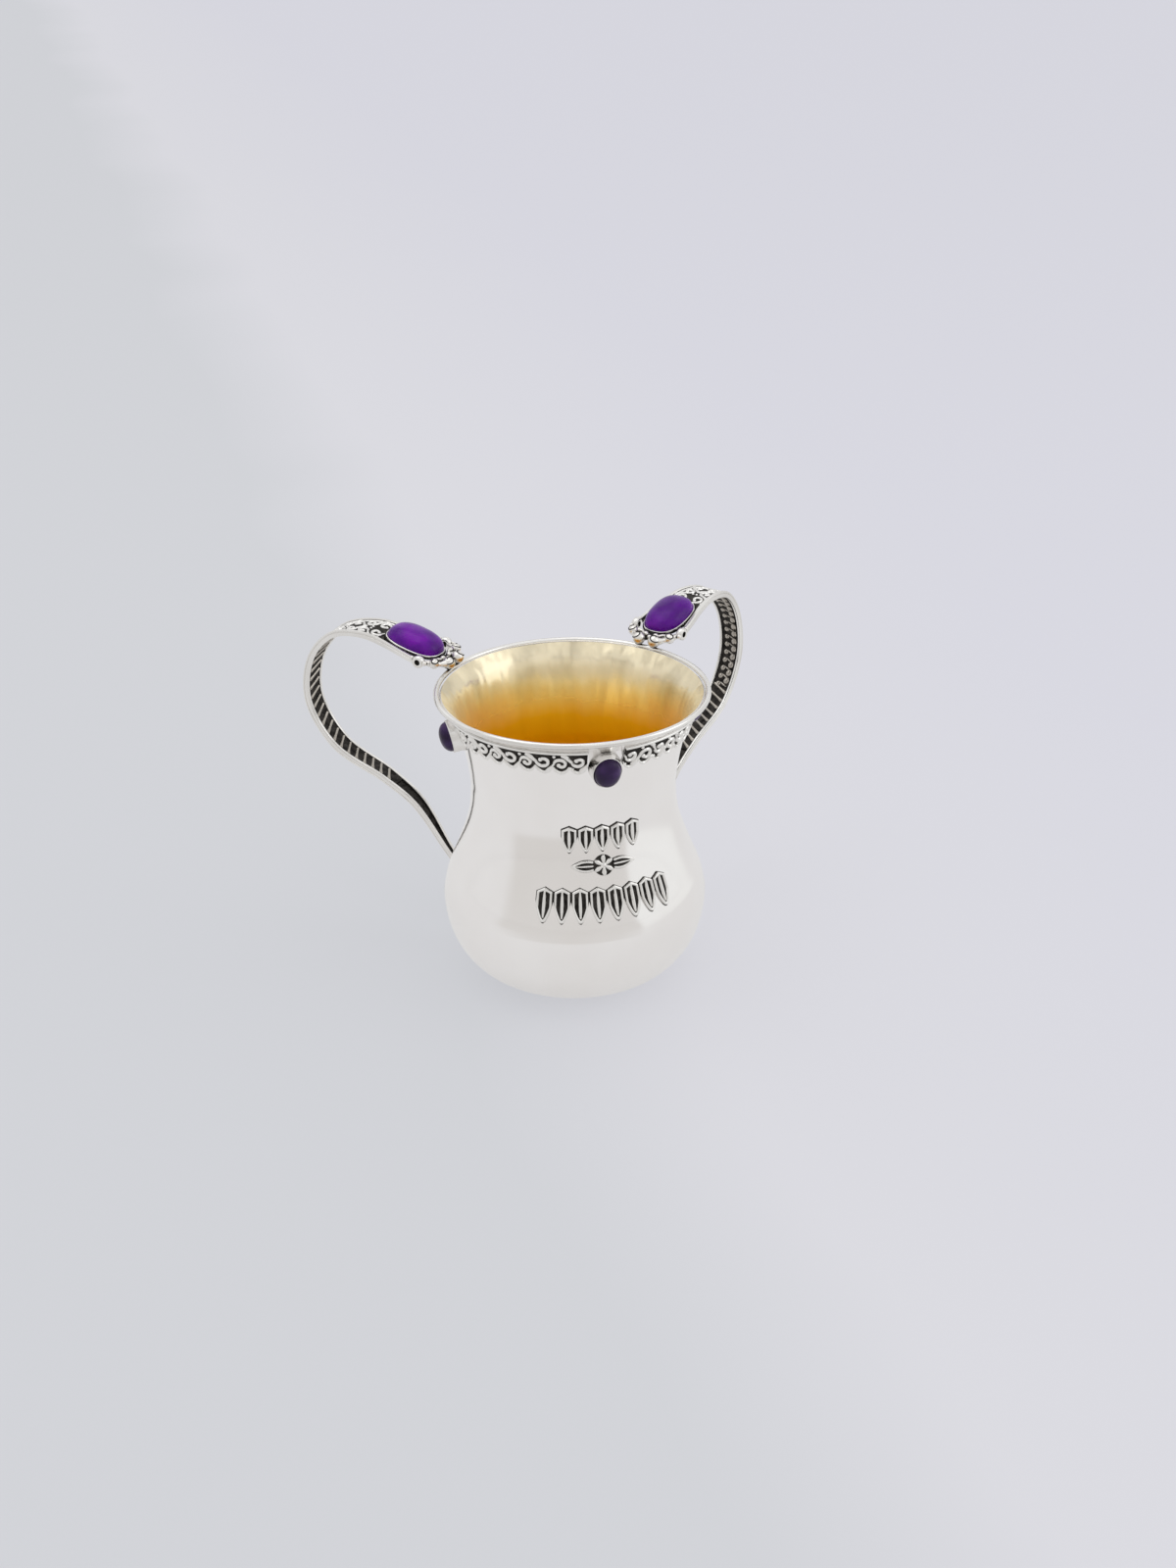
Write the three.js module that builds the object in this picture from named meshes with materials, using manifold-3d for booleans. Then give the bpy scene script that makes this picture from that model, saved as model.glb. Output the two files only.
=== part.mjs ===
// A two-handled cup for washing the hands, in silver with a gilt inside.
// Millimetres, +Z up. The origin is the centre of the flat base, and the front looks along -Y.

import * as THREE from "three";
import { mergeGeometries, mergeVertices } from "three/addons/utils/BufferGeometryUtils.js";
import Module from "manifold-3d";

const wasm = await Module();
wasm.setup();

// Cup body: a raised bowl with a round belly, a drawn-in neck and a flared mouth
const rimDiameter = 110;
const cupHeight = 123;
const baseDiameter = 51.6;
const bellyDiameter = 107.4;
const bellyHeight = 35.1;
const neckDiameter = 82.6;
const neckHeight = 84.6;
const wallThickness = 1.2;
const rimWireDiameter = 2.2;

// Pieces that are soldered or set together stand this far apart
const seatGap = 0.3;

// Scroll band under the rim, in one strip between each two stones
const bandTopDrop = 4.8;
const bandDepth = 11;
const bandThickness = 1.3;
const bandStoneGap = 0.6;
const bandHoleWidth = 2.4;
const bandHoleDepth = 4.2;
const bandHoleStagger = 1;
const bandLobeDepth = 2.6;

// Four small stones in plain collets
const neckStoneWidth = 10;
const neckStoneDepth = 12;
const neckStoneRise = 4;
const neckStoneGirdle = 1;
const neckStoneDrop = 13.8;
const neckStoneStandoff = 3.4;
const colletWall = 0.6;
const colletFloor = 0.4;
const colletLip = 1.1;
const colletFlare = 0.5;

// Handles: a strap of two rails that hold a scroll panel outside and a ladder strip inside
const handleReach = 122.6;
const handleTopHeight = 132.8;
const handleFootHeight = 31.8;
const railSpread = 10.8;
const railWidth = 1.4;
const railThickness = 2.8;
const railTipThickness = 1.8;
const railTipGap = 0.4;
const panelThickness = 0.6;
const ladderThickness = 0.5;
const ladderRungRise = 0.4;
const eyeDiameter = 5.2;
const eyeThickness = 2.8;
const eyeHoleDiameter = 2.2;

// Large stone on top of each handle
const handleStoneLength = 23.2;
const handleStoneWidth = 16;
const handleStoneRise = 5;
const handleStoneGirdle = 1.2;

// Cast cluster of beads and leaves that joins each handle to the rim
const rimBeadDiameter = 4.8;
const rimBeadSpacing = 7.2;
const rimBeadRise = 2.3;
const middleBeadDiameter = 3.8;
const clusterStemDiameter = 2.8;
const clusterLobeDiameter = 3.8;
const clusterLobeSpread = 1.5;
const clusterLobeInset = 1;

// Raised leaf ornament on the front
const ornamentThickness = 1.2;
const upperOrnamentWidth = 32;
const upperOrnamentDepth = 11.4;
const upperOrnamentTop = 82.4;
const rosetteWidth = 26;
const rosetteDepth = 8;
const rosetteTop = 69.8;
const lowerOrnamentWidth = 57;
const lowerOrnamentDepth = 13.5;
const lowerOrnamentTop = 58;
const leafHoleWidth = 1.6;

// One overrun serves every cut
const overrun = 2;

// Angles in degrees
const frontAzimuth = -90;
const leftHandleAzimuth = 138;
const rightHandleAzimuth = 40;
const neckStoneTilt = 12;
const lipBearing = 50;

// Counts
const bodySegments = 48;
const baseSteps = 7;
const shoulderSteps = 7;
const flareSteps = 6;
const wireSides = 8;
const railSteps = 36;
const panelSteps = 32;
const ladderRungs = 20;
const ovalSegments = 24;
const smallOvalSegments = 16;
const domeSteps = 4;
const bandLobes = 9;
const upperLeaves = 5;
const lowerLeaves = 8;
const arcSteps = 4;
const beadWidthSegments = 10;
const beadHeightSegments = 6;
const tubeSides = 6;
const tubeSteps = 4;

// Roundness of the bowl between the base and the belly: 2 would be a plain ellipse
const bellyRoundness = 2.1;

// Outline of the shoulder from the belly up to the neck:
// shares of the height between them, and of the radius by which the belly is wider
const shoulderShares = [
  [0, 1], [0.17, 0.855], [0.33, 0.6], [0.5, 0.338], [0.67, 0.127], [0.83, 0.023], [1, 0],
];

// Outline of the flare from the neck up to the lip:
// shares of the height between them, and of the radius by which the lip is wider
const flareShares = [[0, 0], [0.228, 0.091], [0.453, 0.227], [0.681, 0.408], [0.863, 0.635], [1, 1]];

// Middle line of a handle from the rim up to its top, and on from there to its foot on the belly:
// shares of the reach beyond the rim, and of the height up to the top, from the rim or from the foot
const handleRiseShares = [[-0.007, 0.361], [0.141, 0.423], [0.37, 0.815], [0.561, 1]];
const handleFallShares = [
  [0.786, 0.965], [0.96, 0.837], [1, 0.644], [0.828, 0.459], [0.485, 0.347], [0.274, 0.253],
  [0.074, 0.069], [-0.04, -0.03],
];

// Distance of each rail from the middle line, along the handle: shares of the rail spread
const railSpreadShares = [
  [0, 1.02], [0.06, 1.02], [0.1, 0.95], [0.15, 0.82], [0.2, 0.73], [0.28, 0.58], [0.36, 0.46],
  [0.45, 0.43], [0.62, 0.41], [0.73, 0.35], [0.83, 0.27], [0.93, 0.17], [1, 0.12],
];

// Section of a rail, a square with broken edges: shares of its half width and half thickness
const railSectionShares = [
  [1, -0.67], [1, 0.67], [0.67, 1], [-0.67, 1], [-1, 0.67], [-1, -0.67], [-0.67, -1], [0.67, -1],
];

// Places along a handle, as shares of the length of its middle line
const eyeShare = 0.047;
const handleStoneShare = 0.09;
const panelStartShare = 0.075;
const panelEndShare = 0.96;
const railTaperShare = 0.76;
const ladderStartShare = 0.21;
const ladderEndShare = 0.755;

// Shape of a leaf, as shares of its depth: the notch between two leaves, the shoulder, and its hole
const leafNotchShare = 0.125;
const leafShoulderShare = 0.33;
const leafBendShare = 0.75;
const leafHoleShare = 0.4;

// Roots of the side leaves of the rosette, as shares of its depth out from the middle and across
const rosetteRootShare = 0.33;
const rosetteRootWidthShare = 0.33;

// Part of the quarter turn after which the dome of a stone is closed flat
const domeTurnShare = 0.89;

// Distance within which two edges count as one, as a share of the thickness of the plate
const weldShare = 0.001;

const rimRadius = rimDiameter / 2;
const rimWireRadius = rimWireDiameter / 2;
const rimWireCentreRadius = rimRadius - rimWireRadius;
const rimWireCentreHeight = cupHeight - rimWireRadius;

// Sides that carry a small stone, and the strips of the band that follow them round the neck
const stoneSides = ["front", "right", "rear", "left"];
const bandSides = ["front_right", "rear_right", "rear_left", "front_left"];
const stoneStep = 360 / stoneSides.length;

const silver = { color: 0xe6e4e0, roughness: 0.18, metalness: 1 };
const darkSilver = { color: 0x4a4540, roughness: 0.55, metalness: 0.9 };
const violetStone = { color: 0x5a1f9a, roughness: 0.12, metalness: 0 };
const plumStone = { color: 0x3b2c55, roughness: 0.15, metalness: 0 };

const cup = new THREE.Group();

// Adds one named piece to its group
function addPiece(group, name, solid, look) {
  const mesh = new THREE.Mesh(geometryOf(solid), new THREE.MeshStandardMaterial(look));
  mesh.name = name;
  group.add(mesh);
}

// Turns a closed geometry into a solid with its faces pointing out, without the faces inside it
function solidOf(geometry, isInside = () => false) {
  const bare = geometry.clone();
  bare.deleteAttribute("normal");
  bare.deleteAttribute("uv");
  const merged = mergeVertices(bare);
  const vertProperties = new Float32Array(merged.attributes.position.array);
  const corners = merged.index.array;
  const faces = [];
  let sixVolumes = 0;
  for (let i = 0; i < corners.length; i += 3) {
    const face = [corners[i], corners[i + 1], corners[i + 2]];
    if (new Set(face).size < face.length) continue;
    const [p, q, r] = face.map((k) => new THREE.Vector3().fromArray(vertProperties, 3 * k));
    if (isInside([p, q, r])) continue;
    faces.push(face);
    sixVolumes += p.dot(q.cross(r));
  }
  const triVerts = new Uint32Array(faces.flatMap((face) => (sixVolumes < 0 ? face.reverse() : face)));
  return new wasm.Manifold(new wasm.Mesh({ numProp: 3, vertProperties, triVerts }));
}

function geometryOf(solid) {
  const mesh = solid.getMesh();
  const geometry = new THREE.BufferGeometry();
  const places = new Float32Array(mesh.vertProperties);
  geometry.setAttribute("position", new THREE.BufferAttribute(places, 3));
  geometry.setIndex(new THREE.BufferAttribute(new Uint32Array(mesh.triVerts), 1));
  geometry.computeVertexNormals();
  return geometry;
}

function joined(solids) {
  return solids.reduce((whole, next) => whole.add(next));
}

function cutBy(solid, cutters) {
  return cutters.reduce((rest, cutter) => rest.subtract(cutter), solid);
}

// Value at a share along a table of [share, value] rows, as a smooth curve through the rows
function smoothAlong(table, share) {
  const last = table.length - 1;
  let row = 0;
  while (row < last - 1 && table[row + 1][0] < share) row += 1;
  const slope = (k) => {
    const [before, after] = [table[Math.max(k - 1, 0)], table[Math.min(k + 1, last)]];
    return (after[1] - before[1]) / (after[0] - before[0]);
  };
  const [start, end] = [table[row], table[row + 1]];
  const span = end[0] - start[0];
  const t = (share - start[0]) / span;
  const rise = end[1] - start[1];
  const curveIn = slope(row) * span - rise;
  const curveOut = rise - slope(row + 1) * span;
  return start[1] + rise * t + t * (1 - t) * ((1 - t) * curveIn + t * curveOut);
}

// Solid of stacked rings with the same number of points, closed by flat ends
function loft(rings) {
  const count = rings[0].length;
  const points = rings.flat();
  const faces = [];
  for (let k = 0; k + 1 < rings.length; k += 1) {
    for (let i = 0; i < count; i += 1) {
      const next = (i + 1) % count;
      const [a, b] = [k * count + i, k * count + next];
      faces.push(a, b, b + count, a, b + count, a + count);
    }
  }
  const end = points.length - count;
  for (let i = 1; i + 1 < count; i += 1) {
    faces.push(0, i + 1, i);
    faces.push(end, end + i, end + i + 1);
  }
  const geometry = new THREE.BufferGeometry().setFromPoints(points);
  geometry.setIndex(faces);
  return solidOf(geometry);
}

function lathe(points) {
  return solidOf(new THREE.LatheGeometry(points, bodySegments).rotateX(Math.PI / 2));
}

// Outer outline of the cup from the edge of the base to the lip
function bodyOutline() {
  const [base, belly, neck] = [baseDiameter / 2, bellyDiameter / 2, neckDiameter / 2];
  const bearing = THREE.MathUtils.degToRad(lipBearing);
  const reach = rimWireRadius + seatGap;
  const lipRadius = rimWireCentreRadius - reach * Math.sin(bearing);
  const lipHeight = rimWireCentreHeight - reach * Math.cos(bearing);
  const points = [];
  for (let k = 0; k < baseSteps; k += 1) {
    const angle = (Math.PI / 2) * (1 - k / baseSteps);
    points.push(new THREE.Vector2(
      base + (belly - base) * Math.cos(angle) ** (2 / bellyRoundness),
      bellyHeight * (1 - Math.sin(angle) ** (2 / bellyRoundness)),
    ));
  }
  for (let k = 0; k < shoulderSteps; k += 1) {
    const share = k / shoulderSteps;
    points.push(new THREE.Vector2(
      neck + (belly - neck) * smoothAlong(shoulderShares, share),
      bellyHeight + (neckHeight - bellyHeight) * share,
    ));
  }
  for (let k = 0; k <= flareSteps; k += 1) {
    const share = k / flareSteps;
    points.push(new THREE.Vector2(
      neck + (lipRadius - neck) * smoothAlong(flareShares, share),
      neckHeight + (lipHeight - neckHeight) * share,
    ));
  }
  return points;
}

const outline = bodyOutline();

// Direction that points straight out of the cup wall at one point of the outline
function outwardAt(index) {
  if (index === 0) return new THREE.Vector2(0, -1);
  const before = outline[index - 1];
  const after = outline[Math.min(index + 1, outline.length - 1)];
  const along = after.clone().sub(before).normalize();
  return new THREE.Vector2(along.y, -along.x);
}

function offsetOutline(distance) {
  return outline.map((point, index) => point.clone().addScaledVector(outwardAt(index), distance));
}

// Radius and outward direction of the wall at a height
function wallAt(height) {
  let index = 0;
  while (index < outline.length - 2 && outline[index + 1].y < height) index += 1;
  const [low, high] = [outline[index], outline[index + 1]];
  const share = (height - low.y) / (high.y - low.y);
  const outward = outwardAt(index).lerp(outwardAt(index + 1), share).normalize();
  return { radius: low.x + (high.x - low.x) * share, outward };
}

function cupBody() {
  const inner = offsetOutline(-wallThickness).reverse();
  return lathe([
    new THREE.Vector2(0, 0),
    ...outline,
    ...inner,
    new THREE.Vector2(0, wallThickness),
  ]);
}

// Solid that fills the cup out to the seat of whatever is soldered on the wall
function bodyCutter() {
  const outer = offsetOutline(seatGap);
  const top = outer[outer.length - 1].y;
  return lathe([new THREE.Vector2(0, outer[0].y), ...outer, new THREE.Vector2(0, top)]);
}

function rimRing(sectionRadius) {
  const points = [];
  for (let k = 0; k <= wireSides; k += 1) {
    const angle = (2 * Math.PI * (k % wireSides)) / wireSides;
    points.push(new THREE.Vector2(
      rimWireCentreRadius + sectionRadius * Math.cos(angle),
      rimWireCentreHeight + sectionRadius * Math.sin(angle),
    ));
  }
  return lathe(points);
}

// Oval solid from levels of [half length, half width, height]
function ovalStack(levels, segments) {
  return loft(levels.map(([halfLength, halfWidth, height]) => {
    const ring = [];
    for (let i = 0; i < segments; i += 1) {
      const angle = (2 * Math.PI * i) / segments;
      const [x, y] = [halfLength * Math.cos(angle), halfWidth * Math.sin(angle)];
      ring.push(new THREE.Vector3(x, y, height));
    }
    return ring;
  }));
}

function placed(solid, matrix) {
  return solid.transform(matrix.toArray());
}

// Cabochon: an upright girdle under a dome
function cabochon(length, width, girdle, rise, segments) {
  const levels = [[length / 2, width / 2, 0], [length / 2, width / 2, girdle]];
  for (let k = 1; k <= domeSteps; k += 1) {
    const angle = (Math.PI / 2) * domeTurnShare * (k / domeSteps);
    levels.push([
      (length / 2) * Math.cos(angle),
      (width / 2) * Math.cos(angle),
      girdle + rise * Math.sin(angle),
    ]);
  }
  return ovalStack(levels, segments);
}

// Collet: an oval cup with a thin wall that holds a cabochon whose underside is at height zero,
// on a foot that flares towards what carries it, where it has one
function collet(length, width, foot, segments) {
  const [innerLength, innerWidth] = [length / 2 + seatGap, width / 2 + seatGap];
  const [outerLength, outerWidth] = [innerLength + colletWall, innerWidth + colletWall];
  const underside = -seatGap - colletFloor;
  const flared = [outerLength + colletFlare, outerWidth + colletFlare, underside - foot];
  const body = ovalStack([
    ...(foot > 0 ? [flared] : []),
    [outerLength, outerWidth, underside],
    [outerLength, outerWidth, colletLip],
  ], segments);
  const pocket = ovalStack([
    [innerLength, innerWidth, -seatGap],
    [innerLength, innerWidth, colletLip + overrun],
  ], segments);
  return body.subtract(pocket);
}

// Frame of a stone on the wall: its length runs up the wall and its height straight out of it
function neckStoneMatrix(azimuth) {
  const height = cupHeight - neckStoneDrop;
  const turn = THREE.MathUtils.degToRad(azimuth);
  const tilt = THREE.MathUtils.degToRad(neckStoneTilt);
  const out = new THREE.Vector3(Math.cos(tilt), 0, -Math.sin(tilt));
  const up = new THREE.Vector3(Math.sin(tilt), 0, Math.cos(tilt));
  const side = new THREE.Vector3().crossVectors(out, up);
  const place = new THREE.Vector3(wallAt(height).radius, 0, height);
  place.addScaledVector(out, neckStoneStandoff);
  const local = new THREE.Matrix4().makeBasis(up, side, out).setPosition(place);
  return new THREE.Matrix4().makeRotationZ(turn).multiply(local);
}

// Bends a flat solid round the wall: x runs round the cup, y is the height, z stands out
function wrapOnWall(solid, middleHeight, azimuth) {
  const { radius: middleRadius } = wallAt(middleHeight);
  const turn = THREE.MathUtils.degToRad(azimuth);
  return solid.warp((point) => {
    const { radius, outward } = wallAt(point[1]);
    const lift = seatGap + point[2];
    const angle = turn + point[0] / middleRadius;
    const reach = radius + outward.x * lift;
    const height = point[1] + outward.y * lift;
    point[0] = reach * Math.cos(angle);
    point[1] = reach * Math.sin(angle);
    point[2] = height;
  });
}

// Flat plate from shapes that lie side by side and share the upright edges at the given places
function flatPlate(shapes, thickness, sharedEdges) {
  const settings = { depth: thickness, bevelEnabled: false, curveSegments: arcSteps };
  const tiles = shapes.map((shape) => new THREE.ExtrudeGeometry(shape, settings));
  const liesOn = (edge, corners) => corners.every(({ x }) => (
    Math.abs(x - edge) < weldShare * thickness
  ));
  const isShared = (corners) => sharedEdges.some((edge) => liesOn(edge, corners));
  return solidOf(mergeGeometries(tiles), isShared);
}

// Edges of a row of equal tiles that is centred on zero
function rowEdges(length, tiles) {
  return Array.from({ length: tiles + 1 }, (_, k) => length * (k / tiles - 1 / 2));
}

function ovalHole(x, y, width, depth) {
  const hole = new THREE.Path();
  hole.absellipse(x, y, width / 2, depth / 2, 0, 2 * Math.PI, true);
  return hole;
}

// One strip of the band: a row of pierced lobes with a scalloped lower edge
function bandStrip(azimuth) {
  const top = cupHeight - bandTopDrop;
  const bottom = top - bandDepth;
  const middleHeight = (top + bottom) / 2;
  const { radius } = wallAt(middleHeight);
  const stoneHalf = neckStoneWidth / 2 + seatGap + colletWall + colletFlare + bandStoneGap;
  const length = radius * THREE.MathUtils.degToRad(stoneStep) - 2 * stoneHalf;
  const edges = rowEdges(length, bandLobes);
  const lobes = [];
  for (let k = 0; k < bandLobes; k += 1) {
    const [left, right] = [edges[k], edges[k + 1]];
    const x = (left + right) / 2;
    const shape = new THREE.Shape();
    shape.moveTo(left, top);
    shape.lineTo(left, bottom + bandLobeDepth);
    shape.quadraticCurveTo(x, bottom - bandLobeDepth, right, bottom + bandLobeDepth);
    shape.lineTo(right, top);
    shape.closePath();
    const holeHeight = middleHeight + (k % 2 ? bandHoleStagger : -bandHoleStagger);
    shape.holes.push(ovalHole(x, holeHeight, bandHoleWidth, bandHoleDepth));
    lobes.push(shape);
  }
  const plate = flatPlate(lobes, bandThickness, edges.slice(1, -1));
  return wrapOnWall(plate, middleHeight, azimuth);
}

// Row of upright leaves side by side, each with a pierced eye
function leafRow(width, depth, top, leaves) {
  const edges = rowEdges(width, leaves);
  const middleHeight = top - depth / 2;
  const notch = top - leafNotchShare * depth;
  const shoulder = top - leafShoulderShare * depth;
  const bend = top - leafBendShare * depth;
  const tiles = [];
  for (let k = 0; k < leaves; k += 1) {
    const [left, right] = [edges[k], edges[k + 1]];
    const x = (left + right) / 2;
    const shape = new THREE.Shape();
    shape.moveTo(left, notch);
    shape.lineTo(left, shoulder);
    shape.quadraticCurveTo(left, bend, x, top - depth);
    shape.quadraticCurveTo(right, bend, right, shoulder);
    shape.lineTo(right, notch);
    shape.lineTo(x, top);
    shape.closePath();
    shape.holes.push(ovalHole(x, middleHeight, leafHoleWidth, leafHoleShare * depth));
    tiles.push(shape);
  }
  const plate = flatPlate(tiles, ornamentThickness, edges.slice(1, -1));
  return wrapOnWall(plate, middleHeight, frontAzimuth);
}

// Round flower between two side leaves
function rosette() {
  const middleHeight = rosetteTop - rosetteDepth / 2;
  const flower = new THREE.Shape();
  flower.absellipse(0, middleHeight, rosetteDepth / 2, rosetteDepth / 2, 0, 2 * Math.PI, false);
  flower.holes.push(ovalHole(0, middleHeight, leafHoleWidth, leafHoleWidth));
  const rootHalf = (rosetteRootWidthShare * rosetteDepth) / 2;
  const shapes = [flower];
  for (const side of [-1, 1]) {
    const tip = (side * rosetteWidth) / 2;
    const root = side * rosetteRootShare * rosetteDepth;
    const bend = (root + tip) / 2;
    const leaf = new THREE.Shape();
    leaf.moveTo(root, middleHeight + rootHalf);
    leaf.quadraticCurveTo(bend, rosetteTop, tip, middleHeight);
    leaf.quadraticCurveTo(bend, rosetteTop - rosetteDepth, root, middleHeight - rootHalf);
    leaf.closePath();
    shapes.push(leaf);
  }
  const plates = shapes.map((shape) => flatPlate([shape], ornamentThickness, []));
  return wrapOnWall(joined(plates), middleHeight, frontAzimuth);
}

// Points of the middle line of a handle, in the plane of the handle: x is the radius, z the height
function handlePoints(shares, startHeight) {
  return shares.map(([reachShare, heightShare]) => new THREE.Vector3(
    rimRadius + (handleReach - rimRadius) * reachShare,
    0,
    startHeight + (handleTopHeight - startHeight) * heightShare,
  ));
}

const handleLine = new THREE.CatmullRomCurve3(
  [...handlePoints(handleRiseShares, cupHeight), ...handlePoints(handleFallShares, handleFootHeight)],
  false,
  "centripetal",
);

// Frame of the strap at a share of its length: along it, across it and out of the loop
function strapAt(share) {
  const place = handleLine.getPointAt(share);
  const along = handleLine.getTangentAt(share);
  const across = new THREE.Vector3(0, 1, 0);
  const out = new THREE.Vector3(-along.z, 0, along.x);
  return { place, along, across, out };
}

function strapPoint(share, sideways, outward) {
  const { place, across, out } = strapAt(share);
  return place.addScaledVector(across, sideways).addScaledVector(out, outward);
}

function strapMatrix(share, outward) {
  const { place, along, across, out } = strapAt(share);
  place.addScaledVector(out, outward);
  return new THREE.Matrix4().makeBasis(along, across, out).setPosition(place);
}

function railOffset(share) {
  return railSpread * smoothAlong(railSpreadShares, share);
}

// Rail: a wire that runs from its eye beside the stone to the foot on the belly
function rail(side) {
  const rings = [];
  for (let k = 0; k <= railSteps; k += 1) {
    const share = eyeShare + (1 - eyeShare) * (k / railSteps);
    const offset = railOffset(share);
    const taper = Math.max(0, (share - railTaperShare) / (1 - railTaperShare));
    const halfThickness = THREE.MathUtils.lerp(railThickness, railTipThickness, taper) / 2;
    const halfWidth = Math.min(railWidth, 2 * offset - railTipGap) / 2;
    rings.push(railSectionShares.map(([widthShare, thicknessShare]) => strapPoint(
      share,
      side * offset + halfWidth * widthShare,
      halfThickness * thicknessShare,
    )));
  }
  const eye = eyeDisc(side, eyeDiameter / 2, eyeThickness / 2);
  const hole = eyeDisc(side, eyeHoleDiameter / 2, eyeThickness / 2 + overrun);
  return loft(rings).add(eye).subtract(hole);
}

// Round disc at the place of an eye, where the end of the rail is rolled about a line across the strap
function eyeDisc(side, radius, halfThickness) {
  const levels = [[radius, radius, -halfThickness], [radius, radius, halfThickness]];
  const place = new THREE.Matrix4().makeTranslation(0, side * railOffset(eyeShare), 0);
  place.multiply(new THREE.Matrix4().makeRotationX(Math.PI / 2));
  return placed(ovalStack(levels, smallOvalSegments), strapMatrix(eyeShare, 0).multiply(place));
}

// Flat strip between the rails, from one share of the handle to another
function strip(startShare, endShare, steps, lowAt, high) {
  const rings = [];
  for (let k = 0; k <= steps; k += 1) {
    const share = startShare + (endShare - startShare) * (k / steps);
    const half = railOffset(share) - railWidth / 2 - seatGap;
    const low = lowAt(k);
    rings.push([
      strapPoint(share, -half, low),
      strapPoint(share, half, low),
      strapPoint(share, half, high),
      strapPoint(share, -half, high),
    ]);
  }
  return loft(rings);
}

function scrollPanel() {
  const half = panelThickness / 2;
  return strip(panelStartShare, panelEndShare, panelSteps, () => -half, half);
}

// Ladder strip: a thin strip whose inner face rises in rungs
function ladderStrip() {
  const top = -panelThickness / 2 - seatGap;
  const bottomAt = (k) => top - ladderThickness - (k % 2 ? ladderRungRise : 0);
  return strip(ladderStartShare, ladderEndShare, 2 * ladderRungs, bottomAt, top);
}

// Underside of the handle stone above the middle line of the strap
const handleStoneLift = panelThickness / 2 + seatGap + colletFloor + seatGap;

// Oval that keeps other pieces clear of the collet of the handle stone
function handleColletCutter() {
  const grow = seatGap + colletWall + seatGap;
  const [halfLength, halfWidth] = [handleStoneLength / 2 + grow, handleStoneWidth / 2 + grow];
  const cutter = ovalStack([
    [halfLength, halfWidth, -seatGap - colletFloor - seatGap],
    [halfLength, halfWidth, colletLip + overrun],
  ], ovalSegments);
  return placed(cutter, strapMatrix(handleStoneShare, handleStoneLift));
}

function tubeAlong(points, diameter) {
  const section = new THREE.Shape();
  for (let i = 0; i < tubeSides; i += 1) {
    const angle = (2 * Math.PI * i) / tubeSides;
    const [x, y] = [(diameter / 2) * Math.cos(angle), (diameter / 2) * Math.sin(angle)];
    if (i === 0) section.moveTo(x, y);
    else section.lineTo(x, y);
  }
  section.closePath();
  const extrudePath = new THREE.CatmullRomCurve3(points);
  const settings = { steps: tubeSteps, bevelEnabled: false, extrudePath };
  return solidOf(new THREE.ExtrudeGeometry(section, settings));
}

function bead(place, diameter) {
  const ball = new THREE.SphereGeometry(diameter / 2, beadWidthSegments, beadHeightSegments);
  ball.translate(place.x, place.y, place.z);
  return solidOf(ball);
}

// Cluster: two beads on the rim, a middle bead against the stone, and a curved leaf out to each eye
function rimCluster() {
  const inset = (handleStoneLength + middleBeadDiameter) / 2;
  const middle = new THREE.Vector3(-inset, 0, 0).applyMatrix4(strapMatrix(handleStoneShare, 0));
  const pieces = [bead(middle, middleBeadDiameter)];
  for (const side of [-1, 1]) {
    const start = new THREE.Vector3(
      rimWireCentreRadius,
      (side * rimBeadSpacing) / 2,
      cupHeight + rimBeadRise,
    );
    const eye = strapPoint(eyeShare, side * railOffset(eyeShare), 0);
    const bend = start.clone().add(eye).divideScalar(2);
    bend.x -= clusterLobeInset;
    bend.y += side * clusterLobeSpread;
    pieces.push(bead(start, rimBeadDiameter));
    pieces.push(bead(bend, clusterLobeDiameter));
    pieces.push(tubeAlong([start, bend, eye], clusterStemDiameter));
    pieces.push(tubeAlong([start, middle], clusterStemDiameter));
  }
  return joined(pieces);
}

// A handle with all its pieces, built in the plane of its own group
function addHandle(name, azimuth, rearSide) {
  const handle = new THREE.Group();
  handle.rotation.z = THREE.MathUtils.degToRad(azimuth);
  cup.add(handle);
  const add = (piece, solid, look) => addPiece(handle, `${name}_handle_${piece}`, solid, look);
  const wall = bodyCutter().rotate([0, 0, -azimuth]);
  const wire = rimRing(rimWireRadius + seatGap).rotate([0, 0, -azimuth]);
  const setting = handleColletCutter();
  const eyes = [-1, 1].map((side) => (
    eyeDisc(side, eyeDiameter / 2 + seatGap, eyeThickness / 2 + seatGap)
  ));
  const stonePlace = strapMatrix(handleStoneShare, handleStoneLift);
  const size = [handleStoneLength, handleStoneWidth];
  const stone = cabochon(...size, handleStoneGirdle, handleStoneRise, ovalSegments);
  add("front_rail", cutBy(rail(-rearSide), [setting, wall]), silver);
  add("rear_rail", cutBy(rail(rearSide), [setting, wall]), silver);
  add("scroll_panel", cutBy(scrollPanel(), [setting, wall, ...eyes]), silver);
  add("ladder_strip", ladderStrip(), darkSilver);
  add("collet", placed(collet(...size, 0, ovalSegments), stonePlace), silver);
  add("stone", placed(stone, stonePlace), violetStone);
  add("rim_cluster", cutBy(rimCluster(), [wire, wall, setting, ...eyes]), silver);
}

function addNeckStone(name, azimuth) {
  const place = neckStoneMatrix(azimuth);
  const size = [neckStoneDepth, neckStoneWidth];
  const foot = neckStoneStandoff + overrun;
  const setting = placed(collet(...size, foot, smallOvalSegments), place);
  const stone = cabochon(...size, neckStoneGirdle, neckStoneRise, smallOvalSegments);
  addPiece(cup, `${name}_stone_collet`, setting.subtract(bodyCutter()), silver);
  addPiece(cup, `${name}_stone`, placed(stone, place), plumStone);
}

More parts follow.
